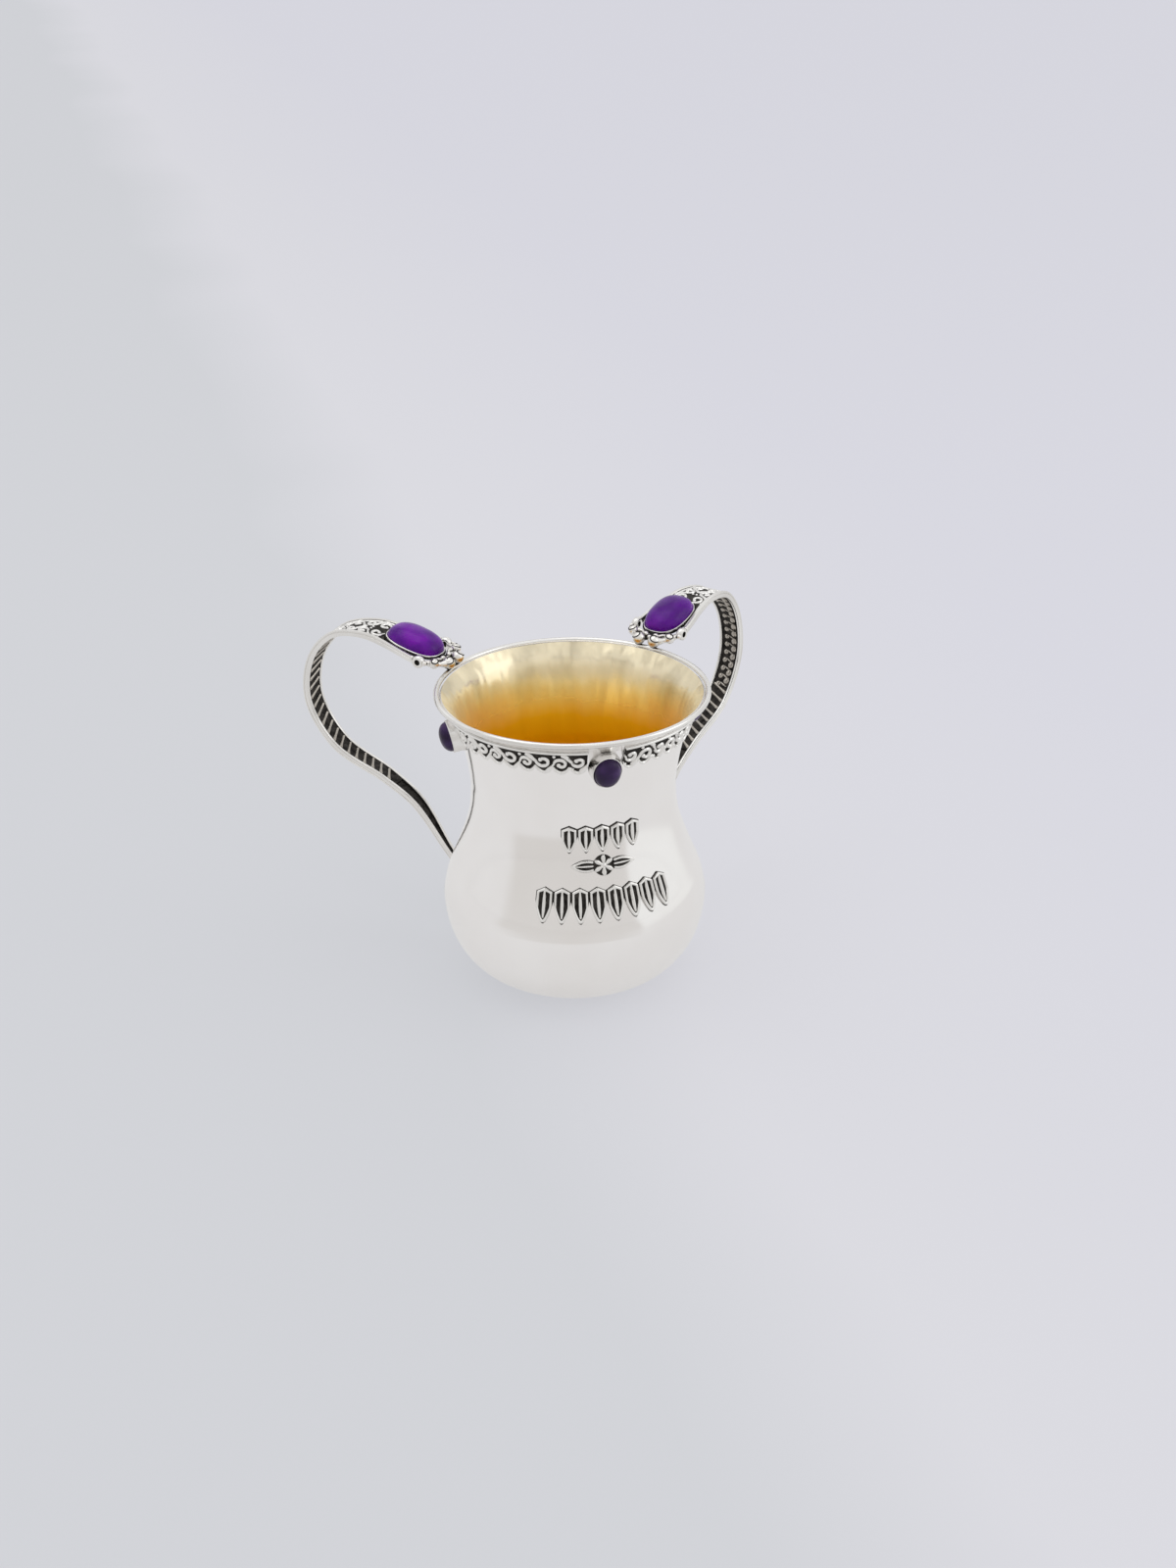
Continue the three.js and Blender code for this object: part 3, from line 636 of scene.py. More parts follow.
def centripetal(points, steps=60):
    """Centripetal Catmull-Rom curve through the points, as many short steps."""
    first = points[0] * 2 - points[1]
    last = points[-1] * 2 - points[-2]
    padded = [first] + points + [last]
    curve = []
    for k in range(len(points) - 1):
        a, b, c, d = padded[k:k + 4]
        spans = [sqrt((q - p).length) for p, q in ((a, b), (b, c), (c, d))]
        into = (b - a) / spans[0] - (c - a) / (spans[0] + spans[1]) + (c - b) / spans[1]
        out = (c - b) / spans[1] - (d - b) / (spans[1] + spans[2]) + (d - c) / spans[2]
        into, out = into * spans[1], out * spans[1]
        for i in range(steps):
            t = i / steps
            curve.append(
                b + into * t
                + (c * 3 - b * 3 - into * 2 - out) * t ** 2
                + (b * 2 - c * 2 + into + out) * t ** 3
            )
    return curve + [points[-1]]


# ---- The bowl's outline


def body_outline(steps=24):
    """Outer outline of the bowl, as (radius, height), from the edge of the base to the lip."""
    bearing = radians(LIP_BEARING)
    reach = WIRE_RADIUS + SEAT_GAP
    lip_radius = RIM_RADIUS - WIRE_RADIUS - reach * sin(bearing)
    lip_height = CUP_HEIGHT - WIRE_RADIUS - reach * cos(bearing)
    shares = even(0, 1, steps)
    power = 2 / BELLY_ROUNDNESS
    rows = []
    for share in shares[:-1]:
        angle = pi / 2 * (1 - share)
        rows.append((
            BASE_RADIUS + (BELLY_RADIUS - BASE_RADIUS) * cos(angle) ** power,
            BELLY_HEIGHT * (1 - sin(angle) ** power),
        ))
    for table, radius, low, high, places in (
        (SHOULDER, BELLY_RADIUS, BELLY_HEIGHT, NECK_HEIGHT, shares[:-1]),
        (FLARE, lip_radius, NECK_HEIGHT, lip_height, shares),
    ):
        rows += [
            (NECK_RADIUS + (radius - NECK_RADIUS) * smooth_along(table, share), low + (high - low) * share)
            for share in places
        ]
    return rows


OUTLINE = body_outline()
OUTLINE_HEIGHTS = [height for _, height in OUTLINE]


def outward_at(index):
    """Direction out of the wall, as (radius, height), at a row of the outline."""
    if index == 0:
        return Vector((0, -1))
    before, after = OUTLINE[index - 1], OUTLINE[min(index + 1, len(OUTLINE) - 1)]
    along = Vector((after[0] - before[0], after[1] - before[1])).normalized()
    return Vector((along.y, -along.x))


def wall_at(height):
    """Radius and outward direction of the wall at a height."""
    index = stretch_of(OUTLINE_HEIGHTS, height)
    low, high = OUTLINE[index], OUTLINE[index + 1]
    share = (height - low[1]) / (high[1] - low[1])
    outward = outward_at(index).lerp(outward_at(index + 1), share).normalized()
    return low[0] + (high[0] - low[0]) * share, outward


def wall_place(middle_height, azimuth):
    """Place function of the wall: u runs round the cup, v is the height, lift stands out."""
    middle_radius, _ = wall_at(middle_height)

    def place(u, v, lift):
        radius, outward = wall_at(v)
        return turned(
            radius + outward.x * lift,
            v + outward.y * lift,
            radians(azimuth) + u / middle_radius,
        )

    return place


def outside_wall(point):
    """Keeps a soldered end from running through the wall of the bowl."""
    radius = hypot(point.x, point.y)
    if point.z > OUTLINE[-1][1]:
        return point
    least = wall_at(max(point.z, 0))[0] - SOLDER_DEPTH
    if radius >= least:
        return point
    return Vector((point.x * least / radius, point.y * least / radius, point.z))


# ---- Relief. A stroke is (path, widths, height), with its path in (u, v) of a sheet.


def stroke_heights(grid, strokes):
    """Height of the relief at each (u, v) of the grid."""
    heights = np.zeros(grid.shape[:2])
    places = grid[:, 0, 0]
    for path, widths, height in strokes:
        for k in range(len(path) - 1):
            start, end = np.array(path[k]), np.array(path[k + 1])
            reach = max(widths[k], widths[k + 1]) / 2
            limits = (min(start[0], end[0]) - reach, max(start[0], end[0]) + reach)
            first, last = np.searchsorted(places, limits)
            if first == last:
                continue
            points = grid[first:last]
            along = end - start
            t = np.clip((points - start) @ along / max(along @ along, 1e-12), 0, 1)
            half = (widths[k] + (widths[k + 1] - widths[k]) * t) / 2
            away = np.linalg.norm(points - start - t[..., None] * along, axis=2) / half
            lift = height * np.clip(1 - away ** STROKE_FLATNESS, 0, 1)
            heights[first:last] = np.maximum(heights[first:last], lift)
    return heights


def emboss(
    name, place, columns, strokes, ground, nodes, sink=SEAT_GAP, metal=RELIEF, edge=0.0, step=RELIEF_STEP,
):
    """Sheet of upright columns (u, lowest v, highest v) with raised strokes over a black ground, partly
    oxide and partly painted shade.

    Its sides and back are polished where edge is one, and black where it is zero, as painted shade at the
    sheet's edges."""
    rows = round(max(high - low for _, low, high in columns) / step)
    grid = np.array([
        [(u, low + (high - low) * j / rows) for j in range(rows + 1)] for u, low, high in columns
    ])
    relief = stroke_heights(grid, strokes)
    highest = max(height for _, _, height in strokes)
    rings, polish = [], []
    for row, lifts in zip(grid, relief):
        top = [place(u, v, ground + lift) for (u, v), lift in zip(row, lifts)]
        rings.append(top + [place(*row[-1], -sink), place(*row[0], -sink)])
        # The silver mask is the share of the relief's height, and the edge value on sides and back; low
        # values are painted black, partly oxide and partly painted shade.
        polish += [min(lift / highest, 1) for lift in lifts] + [edge, edge]
    shape = Shape()
    shape.add_rings(rings)
    finish_piece(name, shape, [metal], nodes, sharp=SHARP_RELIEF, polish=polish)


def even_columns(low_u, high_u, step, low, high):
    """Columns of a sheet at an even step; low and high give its edges at each u."""
    steps = max(2, round((high_u - low_u) / step))
    return [(u, low(u), high(u)) for u in even(low_u, high_u, steps)]


def even_stroke(path, width, height):
    return path, [width] * len(path), height


def dot(u, v, radius, height):
    """Stroke that makes a round grain."""
    return even_stroke([(u, v), (u + DOT_LENGTH, v)], 2 * radius, height)


def tapered(path, width, tip_share, height):
    """Stroke that thins towards its two ends."""
    widths = []
    for k in range(len(path)):
        t = k / (len(path) - 1)
        near = sin(pi * t) ** TAPER_FULLNESS
        widths.append(width * (tip_share + (1 - tip_share) * near))
    return path, widths, height


def spiral(u, v, radius, start, hand):
    """Path from the outer end of a spiral in to its eye."""
    path = []
    for k in range(SPIRAL_STEPS + 1):
        t = k / SPIRAL_STEPS
        r = radius * (1 - (1 - SPIRAL_EYE) * t)
        angle = start + hand * 2 * pi * SPIRAL_TURNS * t
        path.append((u + r * cos(angle), v + r * sin(angle)))
    return path


def scroll_cell(u, v, half_pitch, half_height, side, width, height):
    """Strokes of one curl of a running scroll, with the comma leaves that fill its corners.

    Its bare numbers are shares of the cell's half pitch, half height, stroke width and height."""
    curl = 0.8 * min(half_pitch, half_height)
    eye_v = v - side * (half_height - curl) * 0.4
    start = pi if side > 0 else -pi
    path = [
        (u - half_pitch * 1.5, v - side * half_height * 0.9),
        (u - half_pitch * 1.15, v - side * half_height * 0.5),
    ] + spiral(u, eye_v, curl, start, -side)
    leaf = [
        (u + half_pitch * (0.15 + 0.9 * t), v + side * half_height * (0.98 - 0.8 * t ** 2))
        for t in even(0, 1, 5)
    ]
    return [
        tapered(path, width, 0.5, height),
        dot(*path[-1], width * 0.6, height * 1.05),
        tapered(leaf, width * 1.3, 0.35, height * 0.92),
        dot(u - half_pitch * 0.7, v + side * half_height * 0.8, width * 0.45, height * 0.85),
    ]


# ---- Bowl, rim and band


def build_bowl():
    inside = [
        (radius - outward_at(k).x * WALL, height - outward_at(k).y * WALL)
        for k, (radius, height) in enumerate(OUTLINE)
    ]
    outer = [(BASE_RADIUS * share, 0) for share in BASE_RINGS] + OUTLINE
    inner = inside[::-1] + [(inside[0][0] * share, WALL) for share in FLOOR_RINGS]
    shape = Shape()
    shape.add_rings(turned_rings(outer + inner), [0] * len(outer) + [1] * len(inner), ends=False)
    under, floor = len(shape.points), len(shape.points) + 1
    shape.points += [Vector((0, 0, 0)), Vector((0, 0, WALL))]
    last = under - TURN_SEGMENTS
    for i in range(TURN_SEGMENTS):
        j = (i + 1) % TURN_SEGMENTS
        shape.face((under, j, i), 0)
        shape.face((floor, last + i, last + j), 1)
    finish_piece("bowl", shape, [SILVER, GILDING], ["cup_body"], sharp=SHARP_RELIEF)


def build_rim():
    rows = []
    for j in range(WIRE_SEGMENTS):
        out, up = on_circle(j, WIRE_SEGMENTS)
        rows.append((RIM_RADIUS + WIRE_RADIUS * (out - 1), CUP_HEIGHT + WIRE_RADIUS * (up - 1)))
    shape = Shape()
    shape.add_rings(turned_rings(rows + rows[:1]), ends=False)
    finish_piece("rolled_rim", shape, [SHADED_WIRE_SILVER], ["rim_wire"])


def build_band(name, azimuth):
    """Strip of scrolls between two stones, with a lobed lower edge."""
    middle = BAND_TOP - BAND_DEPTH / 2
    place = wall_place(middle, azimuth)
    radius, _ = wall_at(middle)
    stone_half = NECK_STONE[1] + SEAT_GAP + COLLET_WALL + COLLET_FLARE + BAND_STONE_GAP
    length = radius * pi / 2 - 2 * stone_half
    pitch = length / BAND_LOBES
    bottom = BAND_TOP - BAND_DEPTH

    def lower_edge(u):
        t = ((u + length / 2) / pitch) % 1
        return bottom + BAND_LOBE_DEPTH * (2 * t - 1) ** 2

    columns = even_columns(-length / 2, length / 2, RELIEF_STEP, lower_edge, lambda u: BAND_TOP)
    edge = [(u, low + BAND_EDGE[0]) for u, low, _ in columns[::BAND_EDGE_COLUMNS]]
    border = [(u, BAND_TOP - BAND_BORDER[0]) for u in (-length / 2, length / 2)]
    strokes = [even_stroke(edge, *BAND_EDGE[1:]), even_stroke(border, *BAND_BORDER[1:])]
    for k in range(BAND_LOBES):
        growth = 1 + BAND_SCROLL_CHANGE * sin(BAND_SCROLL_RHYTHM * k + radians(azimuth))
        strokes += scroll_cell(
            -length / 2 + pitch * (k + 0.5), middle - BAND_SCROLL_DROP,
            growth * pitch / 2, growth * BAND_DEPTH * BAND_SCROLL_SHARE,
            1 if k % 2 else -1, BAND_STROKE_WIDTH, BAND_STROKE,
        )
    # The black ground between the scrolls stands for the shaded openings of the band: painted shade.
    emboss(name + "_band", place, columns, strokes, BAND_GROUND, [name + "_scroll_band"], edge=1.0)


# ---- Stones and collets


def oval(half_length, half_width, height, segments=OVAL_SEGMENTS, fullness=2):
    """Ring of points on an ellipse, or on a squarer outline when the fullness is more than two."""
    ring = []
    for i in range(segments):
        along, across = on_circle(i, segments)
        ring.append(Vector((
            copysign(half_length * abs(along) ** (2 / fullness), along),
            copysign(half_width * abs(across) ** (2 / fullness), across),
            height,
        )))
    return ring


def cabochon(stone, matrix):
    half_length, half_width, girdle, rise, fullness = stone
    rows = [(1, 0), (1, girdle / 2)]
    for k in range(DOME_RINGS):
        angle = pi / 2 * k / DOME_END
        rows.append((cos(angle) ** DOME_FULLNESS, girdle + rise * sin(angle)))
    shape = Shape()
    shape.add_rings([
        [matrix @ point for point in oval(
            (half_length + STONE_GROWTH) * share, (half_width + STONE_GROWTH) * share, height,
            fullness=fullness,
        )]
        for share, height in rows
    ])
    return shape


def collet(stone, matrix, foot, lip):
    """Bezel with a burnished lip; its foot and its inner wall take the second material, dark round the
    stone as painted shade.
    """
    half_length, half_width = stone[0] + SEAT_GAP, stone[1] + SEAT_GAP
    under = -SEAT_GAP - COLLET_FLOOR
    section = [
        (COLLET_WALL + COLLET_FLARE, under - foot, 1),
        (COLLET_WALL + COLLET_FLARE * 0.3, under - foot * 0.5, 1),
        (COLLET_WALL, under, 1),
    ]
    section += [(grow, lip - below, look) for grow, below, look in LIP_SECTION] + [(0, -SEAT_GAP, 1)]
    rings = [
        [outside_wall(matrix @ point) for point in oval(
            half_length + grow, half_width + grow, height, fullness=stone[4],
        )]
        for grow, height, _ in section
    ]
    shape = Shape()
    shape.add_rings(rings, [look for _, _, look in section])
    return shape


def neck_stone_matrix(azimuth):
    height = CUP_HEIGHT - STONE_DROP
    tilt = radians(STONE_TILT)
    out = Vector((cos(tilt), 0, -sin(tilt)))
    up = Vector((sin(tilt), 0, cos(tilt)))
    origin = Vector((wall_at(height)[0], 0, height)) + out * STONE_STANDOFF
    return Matrix.Rotation(radians(azimuth), 4, "Z") @ placed(up, out.cross(up), out, origin)


def build_neck_stone(name, azimuth):
    matrix = neck_stone_matrix(azimuth)
    bezel = collet(NECK_STONE, matrix, NECK_FOOT, COLLET_LIP)
    # The foot and inner wall are collet silver, darkened as painted shade round the stone and under the
    # rim.
    finish_piece(name + "_neck_bezel", bezel, [SHADED_WIRE_SILVER, COLLET_SILVER], [name + "_stone_collet"])
    stone = cabochon(NECK_STONE, matrix)
    finish_piece(name + "_neck_cabochon", stone, [PLUM], [name + "_stone"])


# ---- Handles. The strap is the surface between the two rails, and a share is a share of its length.


LINE = centripetal([
    Vector((
        RIM_RADIUS + (HANDLE_REACH - RIM_RADIUS) * reach,
        0,
        start + (HANDLE_TOP - start) * height,
    ))
    for start, rows in ((CUP_HEIGHT, HANDLE_RISE), (HANDLE_FOOT, HANDLE_FALL))
    for reach, height in rows
])
LENGTHS = [0.0]
for here, there in zip(LINE, LINE[1:]):
    LENGTHS.append(LENGTHS[-1] + (there - here).length)
STRAP_LENGTH = LENGTHS[-1]


def strap_at(share):
    """Place, direction along and direction out of the loop, at a share of the middle line."""
    goal = min(max(share, 0), 1) * STRAP_LENGTH
    low = stretch_of(LENGTHS, goal)
    t = (goal - LENGTHS[low]) / (LENGTHS[low + 1] - LENGTHS[low])
    place = LINE[low].lerp(LINE[low + 1], t)
    before, after = LINE[max(low - 2, 0)], LINE[min(low + 3, len(LINE) - 1)]
    along = (after - before).normalized()
    return place, along, Vector((-along.z, 0, along.x))


def rail_offset(share):
    """Distance of the rails from the middle line."""
    return RAIL_SPREAD * smooth_along(SPREAD, share)


class Handle:
    """Turns places on the strap into points of the row."""

    def __init__(self, name):
        self.name = name
        self.turn = Matrix.Rotation(radians(AZIMUTHS[name]), 4, "Z")

    def point(self, share, across, out):
        place, _, outward = strap_at(share)
        return outside_wall(self.turn @ (place + Vector((0, across, 0)) + outward * out))

    def matrix(self, share, across=0.0, out=0.0):
        place, along, outward = strap_at(share)
        origin = place + Vector((0, across, 0)) + outward * out
        return self.turn @ placed(along, Vector((0, 1, 0)), outward, origin)

    def eye(self, side):
        return self.matrix(EYE_SHARE, side * rail_offset(EYE_SHARE))

    def face(self, side, ground):
        """Place function of one face: u is the length along the strap, v is across it."""
        return lambda u, v, lift: self.point(u / STRAP_LENGTH, v, side * (ground + lift))


def build_rail(handle, side, place_name):
    """Grooved rail, black on its inner side as painted shade facing the strip, with a rolled eye at its
    upper end.
    """
    rings = []
    start = EYE_SHARE + EYE_OVERLAP * EYE_RADIUS / STRAP_LENGTH
    for share in even(start, 1, RAIL_STEPS):
        offset = rail_offset(share)
        fade = max(0, (share - RAIL_TAPER) / (1 - RAIL_TAPER))
        half_thickness = (RAIL_THICKNESS + (RAIL_TIP_THICKNESS - RAIL_THICKNESS) * fade) / 2
        half_width = min(RAIL_WIDTH, 2 * offset - RAIL_TIP_GAP) / 2
        rings.append([
            handle.point(share, side * (offset + half_width * across), half_thickness * out)
            for across, out in RAIL_SECTION
        ])
    shape = Shape()
    shape.add_rings(rings)
    # The last face of each ring, on the inner side, takes the black: painted shade.
    for k in range(RAIL_STEPS):
        shape.looks[(k + 1) * len(RAIL_SECTION) - 1] = 1
    eye = handle.eye(side) @ Matrix.Rotation(pi / 2, 4, "X")
    half = EYE_THICKNESS / 2
    section = [(radius, height * half, look) for radius, height, look in EYE_SECTION]
    section += [(radius, -height, look) for radius, height, look in reversed(section)]
    rings = [
        [eye @ point for point in oval(radius, radius, height, EYE_SEGMENTS)]
        for radius, height, _ in section
    ]
    # The hole's wall and the discs that close it are black: painted shade.
    shape.add_rings(rings, [look for _, _, look in section])
    name = f"{handle.name}_{place_name}_rail"
    node_name = f"{handle.name}_handle_{place_name}_rail"
    finish_piece(name, shape, [SHADED_WIRE_SILVER, GROUND], [node_name], sharp=SHARP_RAIL)


def strip_half(u):
    """Half width of the strip between the rails, at a length along the strap."""
    return rail_offset(u / STRAP_LENGTH) - RAIL_WIDTH / 2 - STRIP_CLEARANCE


def strip_columns(start, end):
    """Columns of the strip between the rails, from one share of the strap to another."""
    return even_columns(
        start * STRAP_LENGTH, end * STRAP_LENGTH, STRAP_STEP, lambda u: -strip_half(u), strip_half,
    )


def build_panel(handle):
    """Outer face: scrolls between the rails, in two rows where the strap is wide."""
    columns = strip_columns(PANEL_START, PANEL_END)
    inset, width, height = PANEL_BORDER
    strokes = []
    for side in (-1, 1):
        border = [(u, side * (high - inset)) for u, _, high in columns[::PANEL_BORDER_COLUMNS]]
        strokes.append(even_stroke(border, width, height))
    u = STONE_SHARE * STRAP_LENGTH + HANDLE_STONE[0] + PANEL_STONE_GAP
    side = 1
    while u < SCROLL_END * STRAP_LENGTH:
        half = strip_half(u)
        rows = 2 if half > TWO_ROWS_FROM else 1
        half_height = SCROLL_FILL * half / rows
        half_pitch = max(SCROLL_PITCH_SHARE * half_height, LEAST_SCROLL_PITCH)
        for row in range(rows):
            strokes += scroll_cell(
                u + half_pitch, (2 * row - rows + 1) * half / rows, half_pitch, half_height,
                side if row else -side, PANEL_STROKE_WIDTH, PANEL_STROKE,
            )
        u += 2 * half_pitch
        side = -side
    emboss(
        f"{handle.name}_panel", handle.face(1, PANEL_THICKNESS / 2), columns, strokes, 0.0,
        [f"{handle.name}_handle_scroll_panel"], PANEL_THICKNESS, step=STRAP_STEP,
    )


def ring_strokes(u, half, front):
    """A ring, two leaves that fork from it, and a grain at each side.

    Bare numbers in the three patterns are shares of their pitch and of the strip's half width."""
    low = LADDER_STROKE * RING_LOW_SHARE
    strokes = [dot(u, front * half * 0.25, RING_RADIUS, LADDER_STROKE)]
    for side in (-1, 1):
        leaf = [
            (u + RING_PITCH * (0.3 + 0.34 * t), half * (0.1 * front + side * (0.12 + 0.7 * t)))
            for t in (0, 0.5, 1)
        ]
        strokes.append(tapered(leaf, RING_LEAF_WIDTH, 0.5, low))
        strokes.append(dot(u, side * half * 0.8, RING_GRAIN_RADIUS, low))
    return strokes


def bead_strokes(u, half, front):
    """Two beads side by side, and a leaf between them."""
    leaf = [(u + BEAD_PITCH * (0.5 + 0.2 * t), front * half * (0.45 * t + 0.25)) for t in (-1, 0, 1)]
    return [
        dot(u, front * half * 0.48, BEAD_RADII[0], LADDER_STROKE),
        dot(u + BEAD_PITCH / 2, -front * half * 0.42, BEAD_RADII[1], LADDER_STROKE),
        tapered(leaf, BEAD_LEAF_WIDTH, 0.5, LADDER_STROKE * BEAD_LOW_SHARE),
    ]


def rung_strokes(u, half, front):
    """A slanted rung that swells towards the front rail."""
    rung = [(u + front * RUNG_SLANT * t, half * RUNG_REACH * t) for t in even(-1, 1, 4)]
    return [(rung, RUNG_WIDTHS[::front], LADDER_STROKE)]


def build_ladder(handle):
    """Inner face: a dark strip, its silver a darker copy as painted shade over a black ground, with rings
    near the top, then beads, then slanted rungs.
    """
    columns = strip_columns(LADDER_START, LADDER_END)
    low, high = LADDER_START * STRAP_LENGTH, LADDER_END * STRAP_LENGTH
    strokes = []
    front = 1 if handle.name == "left" else -1
    u = low + RING_PITCH / 2
    while u < high - RUNG_PITCH / 2:
        if u < low + RING_COUNT * RING_PITCH:
            pattern, pitch = ring_strokes, RING_PITCH
        elif u < low + (high - low) * BEAD_SHARES[handle.name]:
            pattern, pitch = bead_strokes, BEAD_PITCH
        else:
            pattern, pitch = rung_strokes, RUNG_PITCH
        strokes += pattern(u, strip_half(u), front)
        u += pitch
    emboss(
        f"{handle.name}_ladder", handle.face(-1, PANEL_THICKNESS / 2 + SEAT_GAP), columns, strokes,
        LADDER_GROUND, [f"{handle.name}_handle_ladder_strip"], 0.0, SHADED_RUNG_SILVER, step=STRAP_STEP,
    )


def tube(shape, points, radii, look=0, sides=12):
    """Round wire through points in space, with its own radius at each point."""
    curve = []
    dense = centripetal(points, 8)
    for k, point in enumerate(dense):
        t = k / (len(dense) - 1) * (len(radii) - 1)
        low = min(int(t), len(radii) - 2)
        curve.append((point, radii[low] + (radii[low + 1] - radii[low]) * (t - low)))
    rings = []
    side = None
    for k, (point, radius) in enumerate(curve):
        before, after = curve[max(k - 1, 0)][0], curve[min(k + 1, len(curve) - 1)][0]
        along = (after - before).normalized()
        side = side or along.orthogonal()
        side = (side - along * side.dot(along)).normalized()
        other = along.cross(side)
        turns = [on_circle(i, sides) for i in range(sides)]
        rings.append([point + side * radius * a + other * radius * b for a, b in turns])
    shape.add_rings(rings, look)


def ball(shape, centre, radius, look=0):
    rings = []
    for k in range(1, BALL_ROWS):
        angle = pi * k / BALL_ROWS
        turns = [on_circle(i, BALL_SEGMENTS) for i in range(BALL_SEGMENTS)]
        rings.append([
            centre + Vector((sin(angle) * a, sin(angle) * b, cos(angle))) * radius
            for a, b in turns
        ])
    shape.add_rings(rings, look)


def swirl(shape, centre, radius, out, up, hand):
    """Bead with a black line that winds round its outer side, like the rolled end of a leaf: painted shade
    in the leaf's groove.
    """
    ball(shape, centre, radius)
    side = out.cross(up).normalized() * hand
    up = side.cross(out).normalized() * hand
    path = []
    for k in range(CURL_STEPS):
        polar, angle = CURL_POLAR - CURL_POLAR_STEP * k, CURL_ANGLE_STEP * k
        away = out * cos(polar) + (up * cos(angle) + side * sin(angle)) * sin(polar)
        path.append(centre + away * radius)
    tube(shape, path, CURL_RADII, 1, 6)


def build_cluster(handle):
    """Rolled leaves, beads and grains between the stone, the two eyes and the rim."""
    shape = Shape()
    turn = handle.turn.to_3x3()
    _, along, outward = strap_at(STONE_SHARE)
    up, across, out = turn @ along, turn @ Vector((0, 1, 0)), (turn @ outward).normalized()
    middle = handle.matrix(STONE_SHARE) @ Vector((
        -HANDLE_STONE[0] - MIDDLE_BEAD_RADIUS, 0, MIDDLE_BEAD_LIFT,
    ))
    for side in (-1, 1):
        away = across * side

        def step(point, up_by, away_by, out_by):
            """Point moved along the strap, away from its middle line and out, in millimetres."""
            return point + (up * up_by + away * away_by + out * out_by) * MM

        bead = handle.turn @ Vector((
            RIM_RADIUS - WIRE_RADIUS, side * RIM_BEAD_SPACING / 2, CUP_HEIGHT + RIM_BEAD_RISE,
        ))
        eye = handle.eye(side).translation
        bend = (bead + eye) / 2 - turn @ Vector((1, 0, 0)) * LOBE_INSET + away * LOBE_SPREAD
        root = step((bead + middle) / 2, 1.2, 0, 0)
        swirl(shape, bead, RIM_BEAD_RADIUS, (out + away * RIM_BEAD_TURN).normalized(), up, side)
        swirl(shape, step(bend, 0, 0, 0.2), LOBE_RADIUS, (out + away * LOBE_TURN).normalized(), up, -side)
        leaf = [step(bead, 0, 0.6, 0), step((bead + bend) / 2, 0, 0.9, 0), bend, step(eye, -1.2, -0.5, 0)]
        crook = [step(bend, 0.6, 0, 0), step((bend + root) / 2, 1.5, 0, 0), step(root, 0.4, 1.6, 0), root]
        tube(shape, leaf, LEAF_RADII)
        tube(shape, crook, CROOK_RADII)
        # Black stalk sunk behind the beads: painted shade in the gaps between the cast forms.
        tube(shape, [bead, step((bead + middle) / 2, 0, 0, -0.6), middle], STALK_RADII, 1)
        ball(shape, step(root, 0, 0.6, 0.4), ROOT_BALL_RADIUS)
        ball(shape, step((bend + eye) / 2, 0, 1.7, 0.3), GRAIN_RADII[0])
        ball(shape, step(eye, 3.1, 0.2, 0.5), GRAIN_RADII[1])
    ball(shape, step(middle, -2.2, 0, 0.4), ROOT_BALL_RADIUS)
    # Black bead sunk under the middle: painted shade.
    ball(shape, step(middle, 0, 0, -0.4), SHADOW_BEAD_RADIUS, 1)
    finish_piece(f"{handle.name}_rim_cluster", shape, [CAST, GROUND], [f"{handle.name}_handle_rim_cluster"])


def build_handle(name):
    handle = Handle(name)
    sides = {"front": 1, "rear": -1} if name == "left" else {"front": -1, "rear": 1}
    for place_name, side in sides.items():
        build_rail(handle, side, place_name)
    build_panel(handle)
    build_ladder(handle)
    build_cluster(handle)
    lift = PANEL_THICKNESS / 2 + SEAT_GAP + COLLET_FLOOR + SEAT_GAP
    matrix = handle.matrix(STONE_SHARE, 0, lift)
    bezel = collet(HANDLE_STONE, matrix, 0.0, HANDLE_LIP)
    # The flange and inner wall are black: painted shade round the stone.
    finish_piece(name + "_bezel", bezel, [SHADED_WIRE_SILVER, GROUND], [name + "_handle_collet"])
    stone = cabochon(HANDLE_STONE, matrix)
    finish_piece(name + "_cabochon", stone, [VIOLET], [name + "_handle_stone"])


# ---- Ornament on the front


def build_row(name):
    """Row of upright leaves with broad polished edges and veins."""
    width, depth, top, leaves = ROWS[name]
    place = wall_place(top - depth / 2, FRONT)
    half = width / leaves / 2

    def along_leaf(u):
        return abs(((u + width / 2) / (2 * half)) % 1 * 2 - 1)

    def low(u):
        return top - depth * (1 - LEAF_POINT * along_leaf(u) ** LEAF_POINT_POWER)

    def high(u):
        return top - LEAF_SHOULDER * depth * along_leaf(u)

    columns = even_columns(-width / 2, width / 2, RELIEF_STEP, low, high)
    strokes = []
    for k in range(leaves):
        centre = -width / 2 + half * (2 * k + 1)
        # The strokes stand in from the leaf's outline, so a thin ring of black ground shows round each
        # leaf: painted shade at its edge.
        over = [(centre + half * t, high(centre + half * t) - LEAF_INSET) for t in LEAF_OVER]
        under = [(centre + half * t, low(centre + half * t) + LEAF_UNDER_INSET) for t in LEAF_UNDER]
        strokes.append(even_stroke(over + under + over[:1], LEAF_STROKE, ORNAMENT_STROKE))
        vein = [(centre, top - depth * (0.1 + 0.72 * t)) for t in even(0, 1, 4)]
        strokes.append(tapered(vein, VEIN_WIDTH, 0.55, VEIN_HEIGHT))
    emboss(name, place, columns, strokes, ORNAMENT_GROUND, [name])


